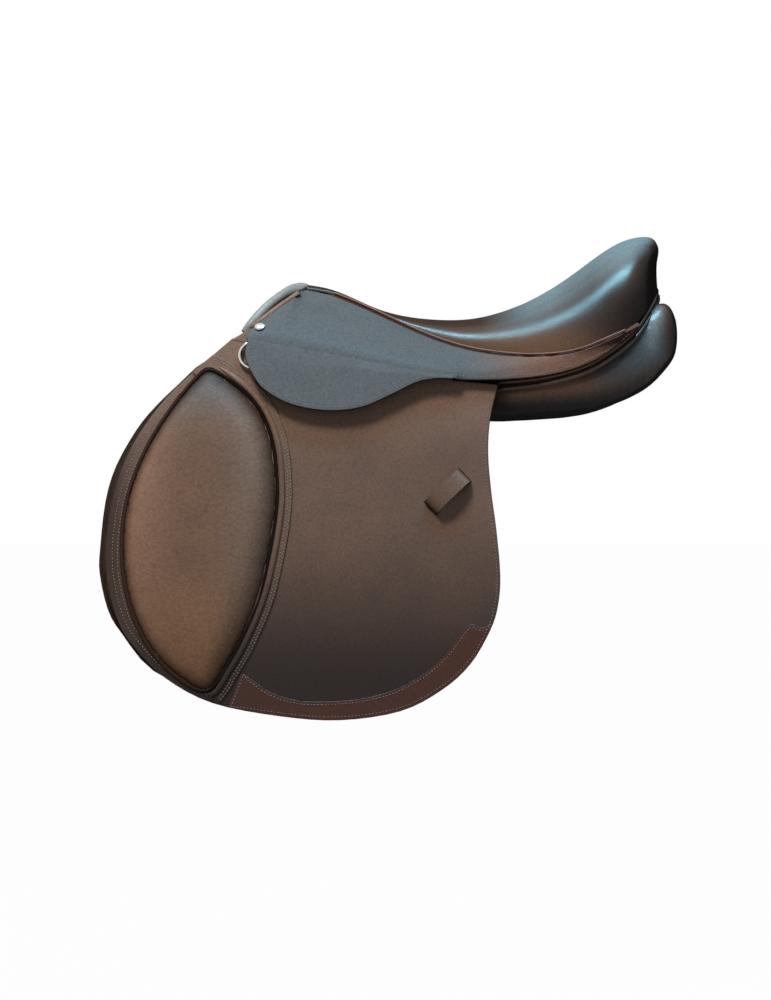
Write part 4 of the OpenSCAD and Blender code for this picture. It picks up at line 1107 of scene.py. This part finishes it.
# %% Rows on the skirt
SKIRT_ROW = 3.8 * MM
lobe_rim = face_rim("skirt_lobe_left")
lobe_row = run_of(inset(lobe_rim, SKIRT_ROW), lambda co: below_bend(co, 2.5 * MM))
sew("lobe_rows", [lobe_row], "lobe_{}")

bm = merged_copy("skirt_left")
skirt_tree = BVHTree.FromBMesh(bm)
bm.free()


def skirt_hit(x, z):
    return skirt_tree.ray_cast(Vector((x, -1.0, z)), Vector((0, 1, 0)))[:2]


def lower_rim(x, low, high):
    z = low
    while z < high:
        if skirt_hit(x, z)[0]:
            return z
        z += RAY_STEP
    return None


RAY_STEP = 0.4 * MM
STRIP_POINTS = 60
skirt_low, skirt_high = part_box("skirt_left")
strip_start, strip_end = -4 * MM, skirt_high.x - 6 * MM
strip_row = []
for k in range(STRIP_POINTS):
    x = strip_start + k * (strip_end - strip_start) / (STRIP_POINTS - 1)
    z = lower_rim(x, skirt_low.z - 0.02, skirt_high.z)
    hit = skirt_hit(x, z + SKIRT_ROW) if z else (None, None)
    if hit[0]:
        strip_row.append(hit)
band = merged_copy("pommel_binding_left")
band.normal_update()
rim = rim_loops(band, lambda f: f.normal.dot(BAND_OUT) > 0.4)[0]
rim = run_of(inset(rim, 1.8 * MM), lambda co: co.y < -0.04)
band_rows = [[(co + BAND_SHIFT * BAND_BACK + BAND_LIFT * BAND_OUT, normal) for co, normal in rim]]
band.free()
sew("strip_rows", [strip_row], "saddle")
sew("band_rows", band_rows, "saddle")

# %% [markdown]
# What is left of the solids is right as it is: the metal fittings and the tree. They only get their materials.

# %% Fittings and tree
CARRIED = {
    nickel: ["saddle_nails", "dee_left", "dee_right", "catch_pins", "billet_pins"],
    steel: ["head_plate", "gullet_plate", "head_rivets", "bar_rivets"]
    + [f"{name}_{side}" for name in ("spring", "stirrup_bar", "bar_catch") for side in SIDES],
    wood: ["tree_head", "tree_frame"],
}
for finish, nodes in CARRIED.items():
    for node in nodes:
        mesh = frame["nodes"][node].data
        mesh.materials.clear()
        mesh.materials.append(finish)
print(sum(len(nodes) for nodes in CARRIED.values()), "solids carried over")

# %% [markdown]
# The saddle hangs in a white studio: a pale floor some way below it, and a faint glow all round. The floor and the
# world are white to the camera and to reflections, and the floor keeps a trace of the saddle's shadow.

# %% Studio
FLOOR_DROP = 0.3
FLOOR_SIZE = 30.0
PAPER_WHITE = 0.98
FAINT_GLOW = 0.1
floor_z = cad_box[0][2] - FLOOR_DROP
bm = bmesh.new()
bmesh.ops.create_grid(bm, x_segments=1, y_segments=1, size=FLOOR_SIZE, matrix=Matrix.Translation((0, 0, floor_z)))
floor_mesh = bpy.data.meshes.new("floor")
bm.to_mesh(floor_mesh)
bm.free()
floor = bpy.data.objects.new("floor", floor_mesh)
scene.collection.objects.link(floor)


def background_seen(tree):
    rays = add(tree, "ShaderNodeLightPath").outputs
    seen = rays["Is Camera Ray"]
    for kind in ("Is Glossy Ray", "Is Transmission Ray"):
        seen = add(tree, "ShaderNodeMath", {0: seen, 1: rays[kind]}, operation="MAXIMUM").outputs["Value"]
    return seen


# Paper, matt: white to the eye and in the metal, grey to the lamps, so that a shadow stays on it
paper, tree, shader = new_material("white_paper")
share = add(tree, "ShaderNodeMath", {0: background_seen(tree), 1: PAPER_WHITE}, operation="MULTIPLY").outputs["Value"]
glow = add(tree, "ShaderNodeEmission", {"Color": "#ffffff", "Strength": 1.0}).outputs["Emission"]
mixed = add(tree, "ShaderNodeMixShader", {"Fac": share, 1: shader.outputs["BSDF"], 2: glow})
shader.inputs["Base Color"].default_value = linear("#8c8c8c")
shader.inputs["Roughness"].default_value = 0.9
tree.links.new(mixed.outputs["Shader"], tree.nodes["Material Output"].inputs["Surface"])
floor_mesh.materials.append(paper)

world = bpy.data.worlds.new("studio")
scene.world = world
world.use_nodes = True
tree = world.node_tree
strength = add(tree, "ShaderNodeMapRange", {"Value": background_seen(tree), "To Min": FAINT_GLOW, "To Max": 1.0})
backdrop = tree.nodes["Background"]
tree.links.new(strength.outputs["Result"], backdrop.inputs["Strength"])
backdrop.inputs["Color"].default_value = linear("#ffffff")
print("floor", round(FLOOR_DROP, 2), "m below the saddle")

# %% [markdown]
# Three lamps light the saddle. A long narrow one overhead is cool as a north window, a wider pane beside it only gleams
# in the wax, and a warm key in front lights the near side without a reflection of its own.


# %% Lamps
def lamp(name, place, target, size, watts, colour):
    light = bpy.data.lights.new(name, "AREA")
    light.shape = "RECTANGLE"
    light.size, light.size_y = size
    light.energy = watts
    light.color = linear(colour)[:3]
    obj = bpy.data.objects.new(name, light)
    obj.location = place
    obj.rotation_euler = (Vector(target) - Vector(place)).to_track_quat("-Z", "Y").to_euler()
    scene.collection.objects.link(obj)
    return obj


SEAT_MIDDLE = (-0.05, -0.1, 0.1)
lamp("window_above", (-0.05, -0.35, 1.4), SEAT_MIDDLE, (1.5, 0.18), 18, "#aeddf5")
# Only gleams: the light that it would spread is left to the strip beside it
lamp("window_gleam", (-0.05, -0.38, 1.4), SEAT_MIDDLE, (1.5, 0.34), 110, "#8fd4ee").visible_diffuse = False
# Not mirrored: in a hide this waxed it would be a white blot
lamp("key_in_front", (-0.7, -1.0, 1.8), (-0.1, 0, -0.05), (0.45, 0.45), 50, "#fff6ec").visible_glossy = False
print("studio lit")
